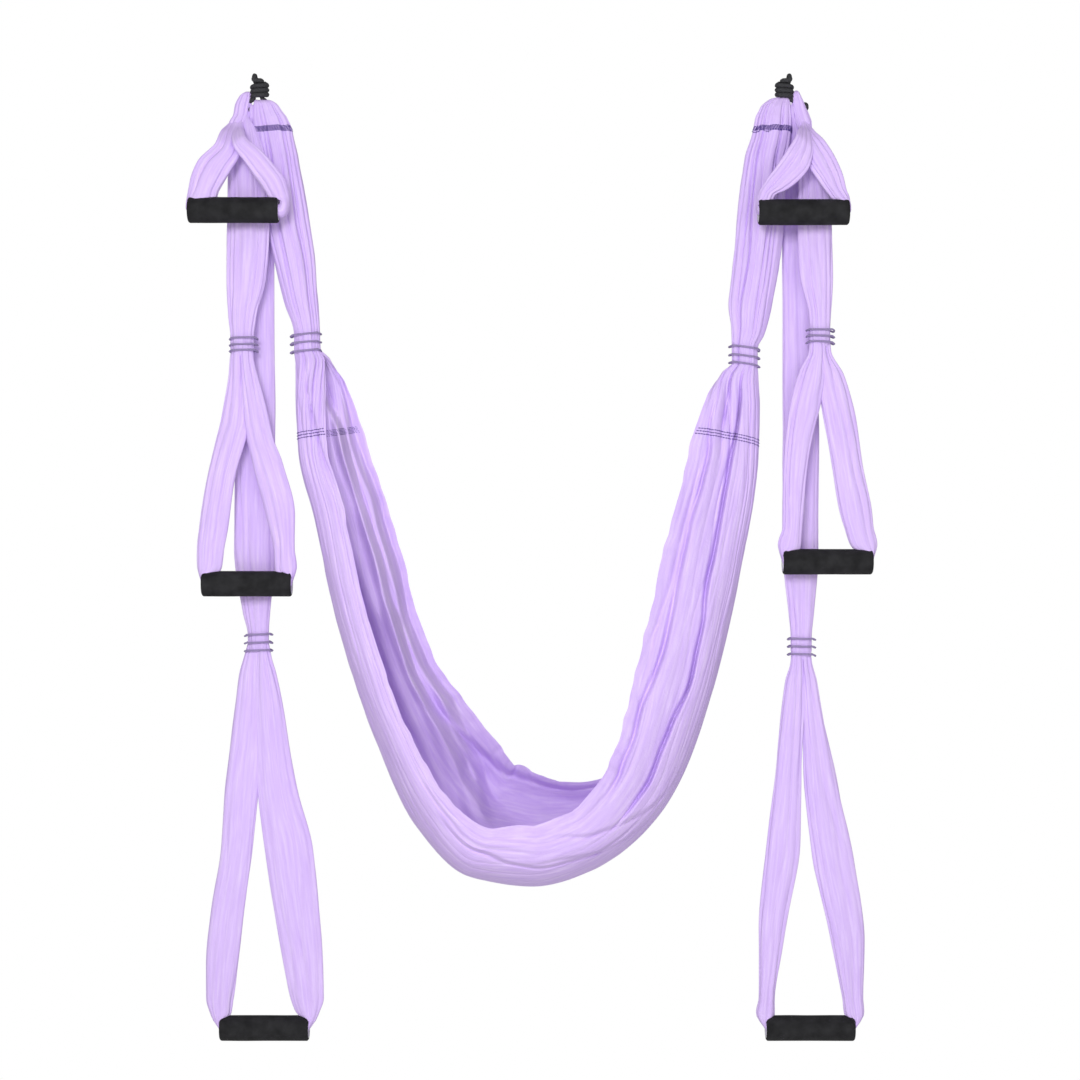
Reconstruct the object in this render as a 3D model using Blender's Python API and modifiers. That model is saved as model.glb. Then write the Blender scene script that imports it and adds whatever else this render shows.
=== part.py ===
"""Aerial yoga swing: a gathered cloth hammock on two knotted ropes, with three handles on each rope.

Units are metres. X runs from the left hanging point to the right one, Y points away from a person
in front of the swing, and Z is up. The origin is where a hook bears inside the left rope's eye.
"""

import math

import bmesh
import bpy
from mathutils import Vector

# Where the swing hangs
HANG_SPAN = 0.780
ROPE_DIAMETER = 0.0062
EYE_WIDTH = 0.0150
KNOT_DROP = 0.0108
KNOT_OFFSET = 0.0070
KNOT_TURNS = 2.5
KNOT_TURN_POINTS = 10
KNOT_GAP = 0.0006
STRAND_TOP = 0.0030
EYE_FOOT_IN = 0.0012
EYE_FOOT_ASIDE = 0.0050
EYE_FOOT_RISE = 0.0058
TAIL_LEAN = 0.0012
TAIL_BACK = 0.0060
TAIL_RISE = 0.0062
STRAND_RUN = 0.0182
RUN_CLEARANCE = 0.0005
RUN_CLOTH = 0.0028
ROPE_BEND = 0.0058
ROPE_BEND_STEPS = 6

# Places on the rope's straight run, measured inwards from the hanging point
SLOT_WIDTH = 0.0070
SLOT_GAP = 0.0010
CHANNEL_START = 0.0005
CHANNEL_WIDTH = 0.0260

# Handles
GRIP_LENGTH = 0.130
GRIP_DIAMETER = 0.0370
CORE_DIAMETER = 0.0290
BORE_DIAMETER = 0.0250
GRIP_ROUNDING = 0.0030
GRIP_SIDES = 20
SPIN_CLEARANCE = 0.0005
FIT_GAP = 0.0003

# Gathers: the cords that pinch the cloth
GATHER_CORD = 0.0030
GATHER_GAP = 0.0004
GATHER_PROUD = 0.0060
GATHER_COUNT = 3
GATHER_POINTS = 12
STRAP_PITCH = 0.0090
LONG_PITCH = 0.0115
HAMMOCK_PITCH = 0.0120
BUNDLE_HALF_WIDTH = 0.0155
BUNDLE_HALF_DEPTH = 0.0100
HAMMOCK_BUNDLE_HALF_WIDTH = 0.0175
HAMMOCK_BUNDLE_HALF_DEPTH = 0.0120

# The flexing joint under a strap's gather
FLEX_RADIUS = 0.0050
FLEX_GAP = 0.0008
GATHER_TAIL = 0.0065

# Upper bunches: where they leave the rope, cross its run's end, widen, and narrow to the gather
HUG_DROP = 0.0090
LEAVE_DROP = 0.016
LEAVE_HALF_DEPTH = 0.0052
CROSS_DROP = 0.028
CROSS_HALF_WIDTH = 0.0064
CROSS_HALF_DEPTH = 0.0045
SHOULDER_DROP = 0.074
SHOULDER_HALF_DEPTH = 0.0085
NARROWING = 0.060
BUNCH_ROW_START = 0.020
BUNCH_ROW_END = 0.012
STRAP_TILT = math.radians(1.5)

# Straps: outwards places and drops below the rope's run, for the left and the right side
SHORT_DROP = {"left": 0.155, "right": 0.158}
SHORT_OUT = {"left": 0.0236, "right": 0.0146}
SHORT_FORWARD = 0.056
SHORT_NECK_DROP = 0.042
SHORT_NECK_OUT = {"left": 0.0190, "right": 0.0160}
SHORT_NECK_HALF_WIDTH = 0.0090
SHORT_NECK_HALF_DEPTH = 0.0068
SHORT_NECK_FORWARD = 0.031
SHORT_FOOT = 0.036
SHORT_BOW = 0.004
# The short strap's two bunches on their way to the neck: share of the way, forward, half sizes
SHORT_HEAD = ((0.42, 0.0150, 0.0040, 0.0055), (0.7, 0.0240, 0.0056, 0.0060))

MIDDLE_GATHER_DROP = {"left": 0.354, "right": 0.342}
MIDDLE_GATHER_OUT = {"left": 0.0136, "right": 0.0430}
MIDDLE_SPREAD = {"left": 0.031, "right": 0.025}
MIDDLE_FORWARD = 0.020
MIDDLE_DROP = {"left": 0.692, "right": 0.660}
MIDDLE_OUT = {"left": 0.0089, "right": 0.0535}
MIDDLE_FOOT = 0.029
MIDDLE_BOW = 0.008

LONG_GATHER_DROP = {"left": 0.790, "right": 0.796}
LONG_GATHER_OUT = {"left": -0.0038, "right": 0.0197}
LONG_SPREAD = {"left": 0.027, "right": 0.022}
LONG_WAIST_OUT = {"left": -0.0060, "right": 0.0130}
LONG_BACK = 0.014
LONG_DROP = {"left": 1.344, "right": 1.344}
LONG_OUT = {"left": -0.0126, "right": 0.0322}
LONG_FOOT = 0.022
LONG_BOW = 0.017

# Loops: the cloth's legs and how they turn over a grip's rim into its bore
STRAP_END_THICKNESS = 0.0055
STRAP_FOOT_HALF_DEPTH = 0.0150
STRAP_HALF_DEPTH = 0.0090
LEG_LOW_HALF_DEPTH = 0.0125
LEG_TOP_HALF_DEPTH = 0.0075
LEG_GAP = 0.0008
LEG_LIFT = 0.0060
SLEEVE_LIFT = 0.0015
RIM_LIFT = 0.0008
RIM_GAP = 0.0009
MOUTH_GAP = 0.0003
CORNER_DROP = 0.0070
CORNER_BULGE = 0.0020
BORE_INSET = 0.0040
PLEAT = 0.25

# Hammock channel: half sizes and places of its bunch below the rope's run
CHANNEL_HUG_DROP = 0.010
CHANNEL_HUG_HALF_DEPTH = 0.0072
CHANNEL_HEM_DROP = 0.032
CHANNEL_HEM_IN = 0.0310
CHANNEL_HEM_HALF_WIDTH = 0.0225
CHANNEL_HEM_HALF_DEPTH = 0.0105
CHANNEL_SHOULDER_DROP = 0.075
CHANNEL_SHOULDER_IN = 0.0430
CHANNEL_SHOULDER_HALF_WIDTH = 0.0255
CHANNEL_SHOULDER_HALF_DEPTH = 0.0120
CHANNEL_WAIST_DROP = 0.165
CHANNEL_WAIST_IN = 0.0500
CHANNEL_LOW_DROP = 0.240
CHANNEL_LOW_BACK = 0.0130
CHANNEL_HALF_DEPTH = 0.0130
CHANNEL_ROW_END = 0.014
HAMMOCK_TILT = math.radians(2.5)

# Hammock
HAMMOCK_GATHER_DROP = {"left": 0.353, "right": 0.372}
HAMMOCK_GATHER_IN = {"left": 0.0745, "right": 0.0655}
HAMMOCK_SPREAD = 0.0300
SEAT_LOW = 1.178
CLOTH = 0.0024
SEAM_GAP = 0.0004
FOLD_DEPTH = 0.016
FOLD_COUNT = 3
FOLD_START = 0.22
FOLD_FADE = 0.12

# The trough from its left gather to its right one: where the lowest cloth is, as shares of the
# hanging span and of the fall from the gather, then the front wall, the back wall, the half width
# from front to back, and the share of the full fold depth. A place of None is set by the gather.
TROUGH_LEFT = [
    (None, 0.07, 0.046, 0.052, 0.018, 0.20),
    (None, 0.18, 0.060, 0.098, 0.034, 0.45),
    (0.118, 0.31, 0.062, 0.105, 0.052, 0.75),
    (0.152, 0.47, 0.062, 0.112, 0.078, 0.95),
    (0.222, 0.72, 0.066, 0.118, 0.112, 1.00),
    (0.306, 0.89, 0.078, 0.126, 0.136, 0.95),
    (0.400, 0.98, 0.096, 0.132, 0.148, 0.90),
]
TROUGH_LOW = (0.520, 1.0, 0.106, 0.134, 0.152, 0.85)
TROUGH_RIGHT = [
    (0.640, 0.97, 0.110, 0.134, 0.144, 0.90),
    (0.762, 0.835, 0.112, 0.128, 0.118, 0.95),
    (0.850, 0.63, 0.108, 0.118, 0.086, 0.95),
    (0.906, 0.40, 0.102, 0.110, 0.058, 0.75),
    (None, 0.18, 0.094, 0.096, 0.034, 0.45),
    (None, 0.06, 0.050, 0.052, 0.018, 0.20),
]
LEFT_BULGES = [-0.001, 0.004]
RIGHT_BULGES = [0.004, 0.002]

# How finely the cloth is modelled
CLOTH_COLUMNS = 18
SEAT_ROWS = 22
END_ROWS = 6
LOOP_SIDES = 8
BUNCH_SIDES = 10
CHANNEL_SIDES = 12
SHORT_LEG_ROWS = 4
MIDDLE_LEG_ROWS = 5
LONG_LEG_ROWS = 6
MIDDLE_BUNCH_ROWS = 6
LONG_BUNCH_ROWS = 8
CHANNEL_ROWS = 8

LILAC = (0.66, 0.50, 0.90)
GATHER_GREY = (0.22, 0.17, 0.34)
FOAM_BLACK = (0.018, 0.018, 0.020)
CORE_GREY = (0.60, 0.60, 0.64)
ROPE_BLACK = (0.012, 0.012, 0.014)

SIDES = {"left": -1, "right": 1}
ROPE_RADIUS = ROPE_DIAMETER / 2
KNOT_PITCH = ROPE_DIAMETER + KNOT_GAP
KNOT_LOW = -KNOT_DROP - KNOT_TURNS * KNOT_PITCH
RUN_Z = KNOT_LOW - STRAND_RUN
RUN_HOLE_RADIUS = ROPE_RADIUS + RUN_CLEARANCE
RUN_TOP_RADIUS = RUN_HOLE_RADIUS + RUN_CLOTH
SLOT_STEP = SLOT_WIDTH + SLOT_GAP
BUNCH_RADIUS = BORE_DIAMETER / 2 - SPIN_CLEARANCE
GRIP_HALF = GRIP_LENGTH / 2

for leftover in list(bpy.data.objects):
    bpy.data.objects.remove(leftover, do_unlink=True)

parts = bpy.data.collections.new("yoga_swing")
bpy.context.scene.collection.children.link(parts)
cutters = bpy.data.collections.new("cutters")
bpy.context.scene.collection.children.link(cutters)


def finish(name, colour, roughness, metallic=0.0):
    """A plain Principled material."""
    material = bpy.data.materials.new(name)
    material.use_nodes = True
    shader = material.node_tree.nodes["Principled BSDF"]
    shader.inputs["Base Color"].default_value = (*colour, 1.0)
    shader.inputs["Roughness"].default_value = roughness
    shader.inputs["Metallic"].default_value = metallic
    return material


cloth_finish = finish("lilac_nylon", LILAC, 0.55)
gather_finish = finish("gather_cord", GATHER_GREY, 0.6)
foam_finish = finish("black_foam", FOAM_BLACK, 0.85)
core_finish = finish("pale_plastic", CORE_GREY, 0.4)
rope_finish = finish("black_rope", ROPE_BLACK, 0.8)

pivots = {}


def body(name, place, parent=None):
    """An empty on a joint's axis, which carries the pieces that move together."""
    empty = bpy.data.objects.new(name, None)
    empty.empty_display_size = 0.03
    parts.objects.link(empty)
    pivots[name] = Vector(place)
    if parent:
        empty.parent = bpy.data.objects[parent]
        empty.location = pivots[name] - pivots[parent]
    else:
        empty.location = pivots[name]
    return empty


def add_piece(obj, owner, material):
    """Give a piece its finish and hang it on its body, with its points measured from the body."""
    obj.data.materials.clear()
    obj.data.materials.append(material)
    parts.objects.link(obj)
    obj.parent = bpy.data.objects[owner]
    return obj


def smooth_between(knots, at):
    """The value at a place on a smooth line through (place, value, ...) knots."""
    last = len(knots) - 2
    i = 0
    while i < last and at > knots[i + 1][0]:
        i += 1
    here, there = knots[i], knots[i + 1]
    before = knots[i - 1] if i > 0 else here
    after = knots[i + 2] if i < last else there
    step = there[0] - here[0]
    t = min(max((at - here[0]) / step, 0.0), 1.0)
    values = []
    for a, b, c, d in zip(before[1:], here[1:], there[1:], after[1:]):
        leave = (c - a) / (there[0] - before[0]) * step
        arrive = (d - b) / (after[0] - here[0]) * step
        h1 = 2 * t**3 - 3 * t**2 + 1
        h2 = t**3 - 2 * t**2 + t
        h3 = 3 * t**2 - 2 * t**3
        h4 = t**3 - t**2
        values.append(h1 * b + h2 * leave + h3 * c + h4 * arrive)
    return values


def ring_of(inner, outer, y, half_depth, pleat, points):
    """A closed section between two (x, z) edges, with lengthwise valleys in its front and back."""
    inner = Vector((inner[0], y, inner[1]))
    outer = Vector((outer[0], y, outer[1]))
    centre = (inner + outer) / 2
    across = (outer - inner) / 2
    deep = Vector((0, half_depth, 0))
    ring = []
    for k in range(points):
        angle = 2 * math.pi * k / points
        place = k % (points // 2)
        reach = 1.0 - pleat if place and place % 2 == 0 else 1.0
        ring.append(centre + (across * math.cos(angle) + deep * math.sin(angle)) * reach)
    return ring


def loft(name, rings, owner, material, capped_as_strip=False):
    """A closed body through a row of sections, with outward faces."""
    origin = pivots[owner]
    bm = bmesh.new()
    rows = [[bm.verts.new(point - origin) for point in ring] for ring in rings]
    count = len(rows[0])
    for upper, lower in zip(rows, rows[1:]):
        for k in range(count):
            j = (k + 1) % count
            bm.faces.new((upper[k], upper[j], lower[j], lower[k]))
    for row in (rows[0], rows[-1]):
        if capped_as_strip:
            half = count // 2
            for k in range(half - 1):
                bm.faces.new((row[k], row[k + 1], row[count - 2 - k], row[count - 1 - k]))
        else:
            bm.faces.new(row)
    bmesh.ops.recalc_face_normals(bm, faces=bm.faces)
    mesh = bpy.data.meshes.new(name)
    bm.to_mesh(mesh)
    bm.free()
    mesh.shade_smooth()
    return add_piece(bpy.data.objects.new(name, mesh), owner, material)


def tube(name, points, diameter, owner, material, closed=False, bevel_resolution=2):
    """A rope or cord along its points."""
    origin = pivots[owner]
    curve = bpy.data.curves.new(name, "CURVE")
    curve.dimensions = "3D"
    curve.bevel_depth = diameter / 2
    curve.bevel_resolution = bevel_resolution
    curve.use_fill_caps = not closed
    spline = curve.splines.new("POLY")
    spline.points.add(len(points) - 1)
    for slot, point in zip(spline.points, points):
        slot.co = (*(point - origin), 1.0)
    spline.use_cyclic_u = closed
    return add_piece(bpy.data.objects.new(name, curve), owner, material)


def turned_sleeve(name, outer_radius, inner_radius, length, rounding, place, owner, material):
    """A hollow round sleeve along X, with rounded outer rims."""
    half = length / 2
    profile = [(inner_radius, -half), (inner_radius, half)]
    if rounding:
        for step in range(3):
            turn = math.pi / 4 * step
            x = outer_radius - rounding + rounding * math.sin(turn)
            profile.append((x, half - rounding + rounding * math.cos(turn)))
        for step in range(3):
            turn = math.pi / 4 * step
            x = outer_radius - rounding + rounding * math.cos(turn)
            profile.append((x, -half + rounding - rounding * math.sin(turn)))
    else:
        profile += [(outer_radius, half), (outer_radius, -half)]
    count = len(profile)
    mesh = bpy.data.meshes.new(name)
    edges = [(i, (i + 1) % count) for i in range(count)]
    mesh.from_pydata([(x, 0, z) for x, z in profile], edges, [])
    obj = add_piece(bpy.data.objects.new(name, mesh), owner, material)
    obj.location = Vector(place) - pivots[owner]
    obj.rotation_euler = (0, math.pi / 2, 0)
    screw = obj.modifiers.new("turn", "SCREW")
    screw.axis = "Z"
    screw.steps = GRIP_SIDES
    screw.render_steps = GRIP_SIDES
    screw.use_merge_vertices = True
    screw.merge_threshold = 0.00005
    screw.use_smooth_shade = True
    return obj


def drill_for_rope(obj, side):
    """Open the hole that the rope's straight run passes through."""
    cut = obj.modifiers.new("rope_hole", "BOOLEAN")
    cut.operation = "DIFFERENCE"
    cut.solver = "EXACT"
    cut.object = bpy.data.objects["rope_hole_" + side]


def hang_x(side):
    return HANG_SPAN if side == "right" else 0.0


def out_to_x(side, outwards):
    """World X of a place measured outwards, away from the hammock, from a hanging point."""
    return hang_x(side) + SIDES[side] * outwards


def slot_centre(place):
    """Outwards place of a strap's loop on the rope's run: 0 long, 1 middle, 2 short."""
    return SLOT_GAP + SLOT_WIDTH / 2 + place * SLOT_STEP


RUN_OUTER = slot_centre(2) + SLOT_WIDTH / 2 + SLOT_GAP
RUN_INNER = CHANNEL_START + CHANNEL_WIDTH + SLOT_GAP


def least_gap(points, diameter):
    """Least distance between two stretches of one rope's surface, not counting its own bends."""
    line = []
    travelled = [0.0]
    for a, b in zip(points, points[1:]):
        count = max(1, math.ceil((b - a).length / (diameter / 8)))
        for i in range(count):
            line.append(a.lerp(b, i / count))
    line.append(points[-1])
    for a, b in zip(line, line[1:]):
        travelled.append(travelled[-1] + (b - a).length)
    apart = math.pi * diameter
    least = math.inf
    for i, a in enumerate(line):
        for j in range(i + 1, len(line)):
            if travelled[j] - travelled[i] > apart:
                least = min(least, (line[j] - a).length)
    return least - diameter


def rope_bend(route, out, start):
    """Turn the rope round half a circle beside the run, from its top or its bottom."""
    for step in range(1, ROPE_BEND_STEPS):
        angle = start - math.pi * step / ROPE_BEND_STEPS
        route.append((out + ROPE_BEND * math.cos(angle), 0, RUN_Z + ROPE_BEND * (1 + math.sin(angle))))


def build_rope(side):
    """Knotted rope: eye on top, wrapped knot, and a straight run below that carries the cloth."""
    strand = KNOT_PITCH / 2
    wrap = KNOT_PITCH / math.cos(math.pi / KNOT_TURN_POINTS)
    left_strand = -KNOT_OFFSET - strand
    right_strand = -KNOT_OFFSET + strand
    knot_top = -KNOT_DROP
    foot = knot_top + EYE_FOOT_RISE
    route = [(left_strand - wrap - TAIL_LEAN, TAIL_BACK, knot_top + TAIL_RISE)]
    for step in range(round(KNOT_TURNS * KNOT_TURN_POINTS) + 1):
        angle = math.pi + 2 * math.pi * step / KNOT_TURN_POINTS
        across = math.cos(angle)
        centre = right_strand if across > 0 else left_strand
        z = knot_top - KNOT_PITCH * step / KNOT_TURN_POINTS
        route.append((centre + wrap * across, wrap * math.sin(angle), z))
    upper = RUN_Z + 2 * ROPE_BEND
    route.append((right_strand + wrap + ROPE_RADIUS, -TAIL_LEAN, KNOT_LOW - ROPE_RADIUS))
    route.append((RUN_OUTER - ROPE_BEND, 0, upper + TAIL_LEAN))
    rope_bend(route, RUN_OUTER, math.pi / 2)
    route.append((RUN_OUTER, 0, RUN_Z))
    route.append((-RUN_INNER, 0, RUN_Z))
    rope_bend(route, -RUN_INNER, -math.pi / 2)
    route.append((-RUN_INNER + ROPE_RADIUS, 0, upper))
    route.append((left_strand - ROPE_RADIUS, 0, upper + ROPE_RADIUS))
    route.append((left_strand, 0, KNOT_LOW))
    route.append((left_strand, 0, knot_top + STRAND_TOP))
    route.append((left_strand + EYE_FOOT_IN, -EYE_FOOT_ASIDE, foot))
    eye = EYE_WIDTH / 2
    for step in range(ROPE_BEND_STEPS + 1):
        angle = math.pi + math.pi * step / ROPE_BEND_STEPS
        route.append((0, eye * math.cos(angle), ROPE_RADIUS - eye * (1 + math.sin(angle))))
    route.append((right_strand, EYE_FOOT_ASIDE, foot))
    route.append((right_strand, 0, knot_top + STRAND_TOP))
    route.append((right_strand, 0, KNOT_LOW))
    points = [Vector((out_to_x(side, out), y, z)) for out, y, z in route]
    length = sum((b - a).length for a, b in zip(points, points[1:]))
    gap = least_gap(points, ROPE_DIAMETER)
    print(f"rope_{side}: {length * 1000:.0f} mm long, least gap to itself {gap * 1000:.2f} mm")
    return tube("rope_" + side, points, ROPE_DIAMETER, "ropes", rope_finish, bevel_resolution=1)


def gather_rings(stem, owner, centre_x, low_z, y, half_width, half_depth, pitch, tilt):
    """Three tight turns of cord round a bunch of cloth, each its own piece, lowest first."""
    across = half_width + GATHER_PROUD
    deep = half_depth + GATHER_GAP + GATHER_CORD / 2
    for number in range(GATHER_COUNT):
        points = []
        for k in range(GATHER_POINTS):
            angle = 2 * math.pi * k / GATHER_POINTS
            x = across * math.cos(angle)
            # The cord lies flat along the front and back of the bunch and turns sharply at its sides
            flat = math.copysign(abs(math.sin(angle)) ** 0.6, math.sin(angle))
            z = low_z + number * pitch + x * math.tan(tilt)
            points.append(Vector((centre_x + x, y + deep * flat, z)))
        name = f"{stem}_ring_{number + 1}"
        tube(name, points, GATHER_CORD, owner, gather_finish, closed=True, bevel_resolution=1)


def strap_top(slot_out):
    """Knots of a strap bunch where it lies over the rope: drop, outwards, forward, half sizes, pleat."""
    rows = []
    for turn in (80, 45):
        turn = math.radians(turn)
        drop = -RUN_TOP_RADIUS * math.sin(turn)
        rows.append((drop, slot_out, 0.0, SLOT_WIDTH / 2, RUN_TOP_RADIUS * math.cos(turn), 0.0))
    rows.append((0.0, slot_out, 0.0, SLOT_WIDTH / 2, RUN_TOP_RADIUS, 0.0))
    rows.append((HUG_DROP, slot_out, 0.0, SLOT_WIDTH / 2, RUN_TOP_RADIUS * 0.92, 0.0))
    return rows


def upper_strap(kind, side, place, gather_out, gather_drop, forward, spread, waist_out, rows):
    """The upper bunch of a strap, from the rope's run down to just under its gather."""
    slot_out = slot_centre(place)
    pitch = STRAP_PITCH if kind == "middle" else LONG_PITCH
    top_ring = gather_drop - (GATHER_COUNT - 1) * pitch - GATHER_CORD
    end_drop = gather_drop + GATHER_TAIL
    knots = strap_top(slot_out)
    near = slot_out + (waist_out - slot_out) * 0.12
    knots.append((LEAVE_DROP, slot_out, forward * 0.16, SLOT_WIDTH / 2, LEAVE_HALF_DEPTH, 0.0))
    knots.append((CROSS_DROP, near, forward * 0.38, CROSS_HALF_WIDTH, CROSS_HALF_DEPTH, PLEAT * 0.5))
    knots.append((SHOULDER_DROP, waist_out, forward * 0.92, spread * 0.82, SHOULDER_HALF_DEPTH, PLEAT))
    knots.append((gather_drop * 0.50, waist_out, forward, spread, STRAP_HALF_DEPTH, PLEAT))
    knots.append((top_ring - NARROWING, gather_out, forward, spread * 0.86, STRAP_HALF_DEPTH, PLEAT))
    knots.append((top_ring, gather_out, forward, BUNDLE_HALF_WIDTH, BUNDLE_HALF_DEPTH, PLEAT))
    bundle = (gather_out, forward, BUNDLE_HALF_WIDTH)
    knots.append((gather_drop + GATHER_CORD, *bundle, BUNDLE_HALF_DEPTH, PLEAT))
    knots.append((end_drop, *bundle, BUNDLE_HALF_DEPTH * 0.68, PLEAT * 0.5))
    drops = [knot[0] for knot in knots[:4]]
    first, last = BUNCH_ROW_START, top_ring - BUNCH_ROW_END
    drops += [first + (last - first) * (i / (rows - 1)) ** 1.25 for i in range(rows)]
    drops += [knot[0] for knot in knots[-3:]]
    rings = []
    for drop in drops:
        out, y, half_width, half_depth, pleat = smooth_between(knots, drop)
        z = RUN_Z - drop
        edges = (out_to_x(side, out - half_width), z), (out_to_x(side, out + half_width), z)
        rings.append(ring_of(*edges, -y, half_depth, pleat, BUNCH_SIDES))
    owner = f"{kind}_strap_{side}"
    strap = loft(f"{kind}_strap_upper_{side}", rings, owner, cloth_finish)
    drill_for_rope(strap, side)
    gather_x = out_to_x(side, gather_out)
    low_z = RUN_Z - gather_drop
    sizes = (BUNDLE_HALF_WIDTH, BUNDLE_HALF_DEPTH, pitch, STRAP_TILT)
    gather_rings(f"{kind}_gather_{side}", owner, gather_x, low_z, -forward, *sizes)


# Shapes along a leg from its gather to its grip: outer edge, inner edge, outward bow, half depth
RISE = [(0.0, 0.0), (0.15, 0.33), (0.4, 0.68), (0.6, 0.90), (0.8, 1.0), (1.0, 1.0)]
PART = [(0.0, 0.0), (0.38, 0.01), (0.55, 0.21), (0.7, 0.43), (0.85, 0.68), (1.0, 1.0)]
BOW = [(0.0, 0.0), (0.4, 0.15), (0.6, 0.5), (0.8, 1.0), (0.92, 1.0), (1.0, 0.45)]
LEG_DEPTH = [
    (0.0, FLEX_RADIUS),
    (0.2, LEG_TOP_HALF_DEPTH),
    (0.7, STRAP_HALF_DEPTH),
    (1.0, LEG_LOW_HALF_DEPTH),
]


def leg_rows(sign, top, grip, top_half, foot, bow, rows):
    """One leg of a loop, from its gather down into the grip's bore: inner and outer edge, y, depth."""
    sleeve_top = grip.z + GRIP_DIAMETER / 2
    foot_z = sleeve_top + SLEEVE_LIFT
    end = GRIP_HALF + RIM_GAP
    legs = []
    for i in range(1, rows + 1):
        f = (i / (rows + 0.6)) ** 0.9
        centre = top.lerp(grip, f)
        inner = LEG_GAP / 2 + (GRIP_HALF - foot - LEG_GAP / 2) * smooth_between(PART, f)[0]
        outer = top_half + (GRIP_HALF + STRAP_END_THICKNESS - top_half) * smooth_between(RISE, f)[0]
        outer += bow * smooth_between(BOW, f)[0]
        z = top.z + (foot_z + LEG_LIFT - top.z) * f
        depth = smooth_between(LEG_DEPTH, f)[0]
        legs.append(((centre.x + sign * inner, z), (centre.x + sign * outer, z), centre.y, depth, PLEAT))
    wide = STRAP_FOOT_HALF_DEPTH
    bulge = GRIP_HALF + STRAP_END_THICKNESS
    mouth = GRIP_HALF + MOUTH_GAP
    near = grip.z + BUNCH_RADIUS
    corner = [
        (GRIP_HALF - foot, foot_z, bulge + CORNER_BULGE, foot_z + CORNER_DROP, wide, PLEAT),
        (end, sleeve_top + RIM_LIFT, bulge + RIM_LIFT, sleeve_top, wide, PLEAT * 0.5),
        (end, near + SLEEVE_LIFT, bulge, grip.z + BORE_INSET, wide * 0.95, 0.0),
        (mouth, near - MOUTH_GAP, mouth + RIM_LIFT, grip.z - BUNCH_RADIUS, BUNCH_RADIUS, 0.0),
        (GRIP_HALF - BORE_INSET, near, GRIP_HALF - BORE_INSET, grip.z - BUNCH_RADIUS, BUNCH_RADIUS, 0.0),
    ]
    for inner, inner_z, outer, outer_z, depth, pleat in corner:
        inner_edge = (grip.x + sign * inner, inner_z)
        legs.append((inner_edge, (grip.x + sign * outer, outer_z), grip.y, depth, pleat))
    return legs


def loop_body(name, owner, heads, left, right):
    """A strap loop as one strip: down the left leg, through the bore, up the right leg."""
    left_head, right_head = heads
    rows = left_head + left + right[::-1] + right_head[::-1]
    rings = [ring_of(*row, LOOP_SIDES) for row in rows]
    return loft(name, rings, owner, cloth_finish)


def lower_loop(kind, side, top, grip, foot, bow, rows):
    """The loop of a strap below its gather, which flexes on a rounded head."""
    heads = []
    for sign in (-1, 1):
        head = []
        for turn in (80, 48, 12):
            turn = math.radians(turn)
            z = top.z + FLEX_RADIUS * math.sin(turn)
            edges = (top.x + sign * LEG_GAP / 2, z), (top.x + sign * BUNDLE_HALF_WIDTH, z)
            head.append((*edges, top.y, FLEX_RADIUS * math.cos(turn), 0.0))
        heads.append(head)
    legs = [leg_rows(sign, top, grip, BUNDLE_HALF_WIDTH, foot, bow, rows) for sign in (-1, 1)]
    return loop_body(f"{kind}_strap_loop_{side}", f"{kind}_loop_{side}", heads, *legs)


def short_loop(side, grip):
    """The short strap: two bunches over the rope, a neck, and the loop that holds the grip."""
    slot_x = out_to_x(side, slot_centre(2))
    neck = Vector((out_to_x(side, SHORT_NECK_OUT[side]), -SHORT_NECK_FORWARD, RUN_Z - SHORT_NECK_DROP))
    heads = []
    for sign in (-1, 1):
        head = []
        for drop, _, _, half_width, half_depth, _ in strap_top(0.0):
            z = RUN_Z - drop
            edges = (slot_x + sign * LEG_GAP / 2, z), (slot_x + sign * half_width, z)
            head.append((*edges, 0.0, half_depth, 0.0))
        for share, forward, half_width, half_depth in SHORT_HEAD:
            z = RUN_Z - SHORT_NECK_DROP * share
            x = slot_x + (neck.x - slot_x) * share
            edges = (x + sign * LEG_GAP / 2, z), (x + sign * half_width, z)
            head.append((*edges, -forward, half_depth, 0.0))
        edges = (neck.x + sign * LEG_GAP / 2, neck.z), (neck.x + sign * SHORT_NECK_HALF_WIDTH, neck.z)
        head.append((*edges, neck.y, SHORT_NECK_HALF_DEPTH, PLEAT * 0.5))
        heads.append(head)
    shape = (SHORT_NECK_HALF_WIDTH, SHORT_FOOT, SHORT_BOW, SHORT_LEG_ROWS)
    legs = [leg_rows(sign, neck, grip, *shape) for sign in (-1, 1)]
    strap = loop_body(f"short_strap_loop_{side}", f"short_strap_{side}", heads, *legs)
    drill_for_rope(strap, side)


def build_grip(kind, side, place, parent):
    """A foam sleeve on a plastic core tube, free to roll on the strap bunched through its bore."""
    owner = f"{kind}_grip_{side}"
    body(owner, place, parent)
    core = (CORE_DIAMETER / 2, BORE_DIAMETER / 2, GRIP_LENGTH, 0.0)
    turned_sleeve(f"{kind}_core_{side}", *core, place, owner, core_finish)
    sleeve = (GRIP_DIAMETER / 2, CORE_DIAMETER / 2 + FIT_GAP, GRIP_LENGTH, GRIP_ROUNDING)
    turned_sleeve(f"{kind}_foam_{side}", *sleeve, place, owner, foam_finish)


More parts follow.
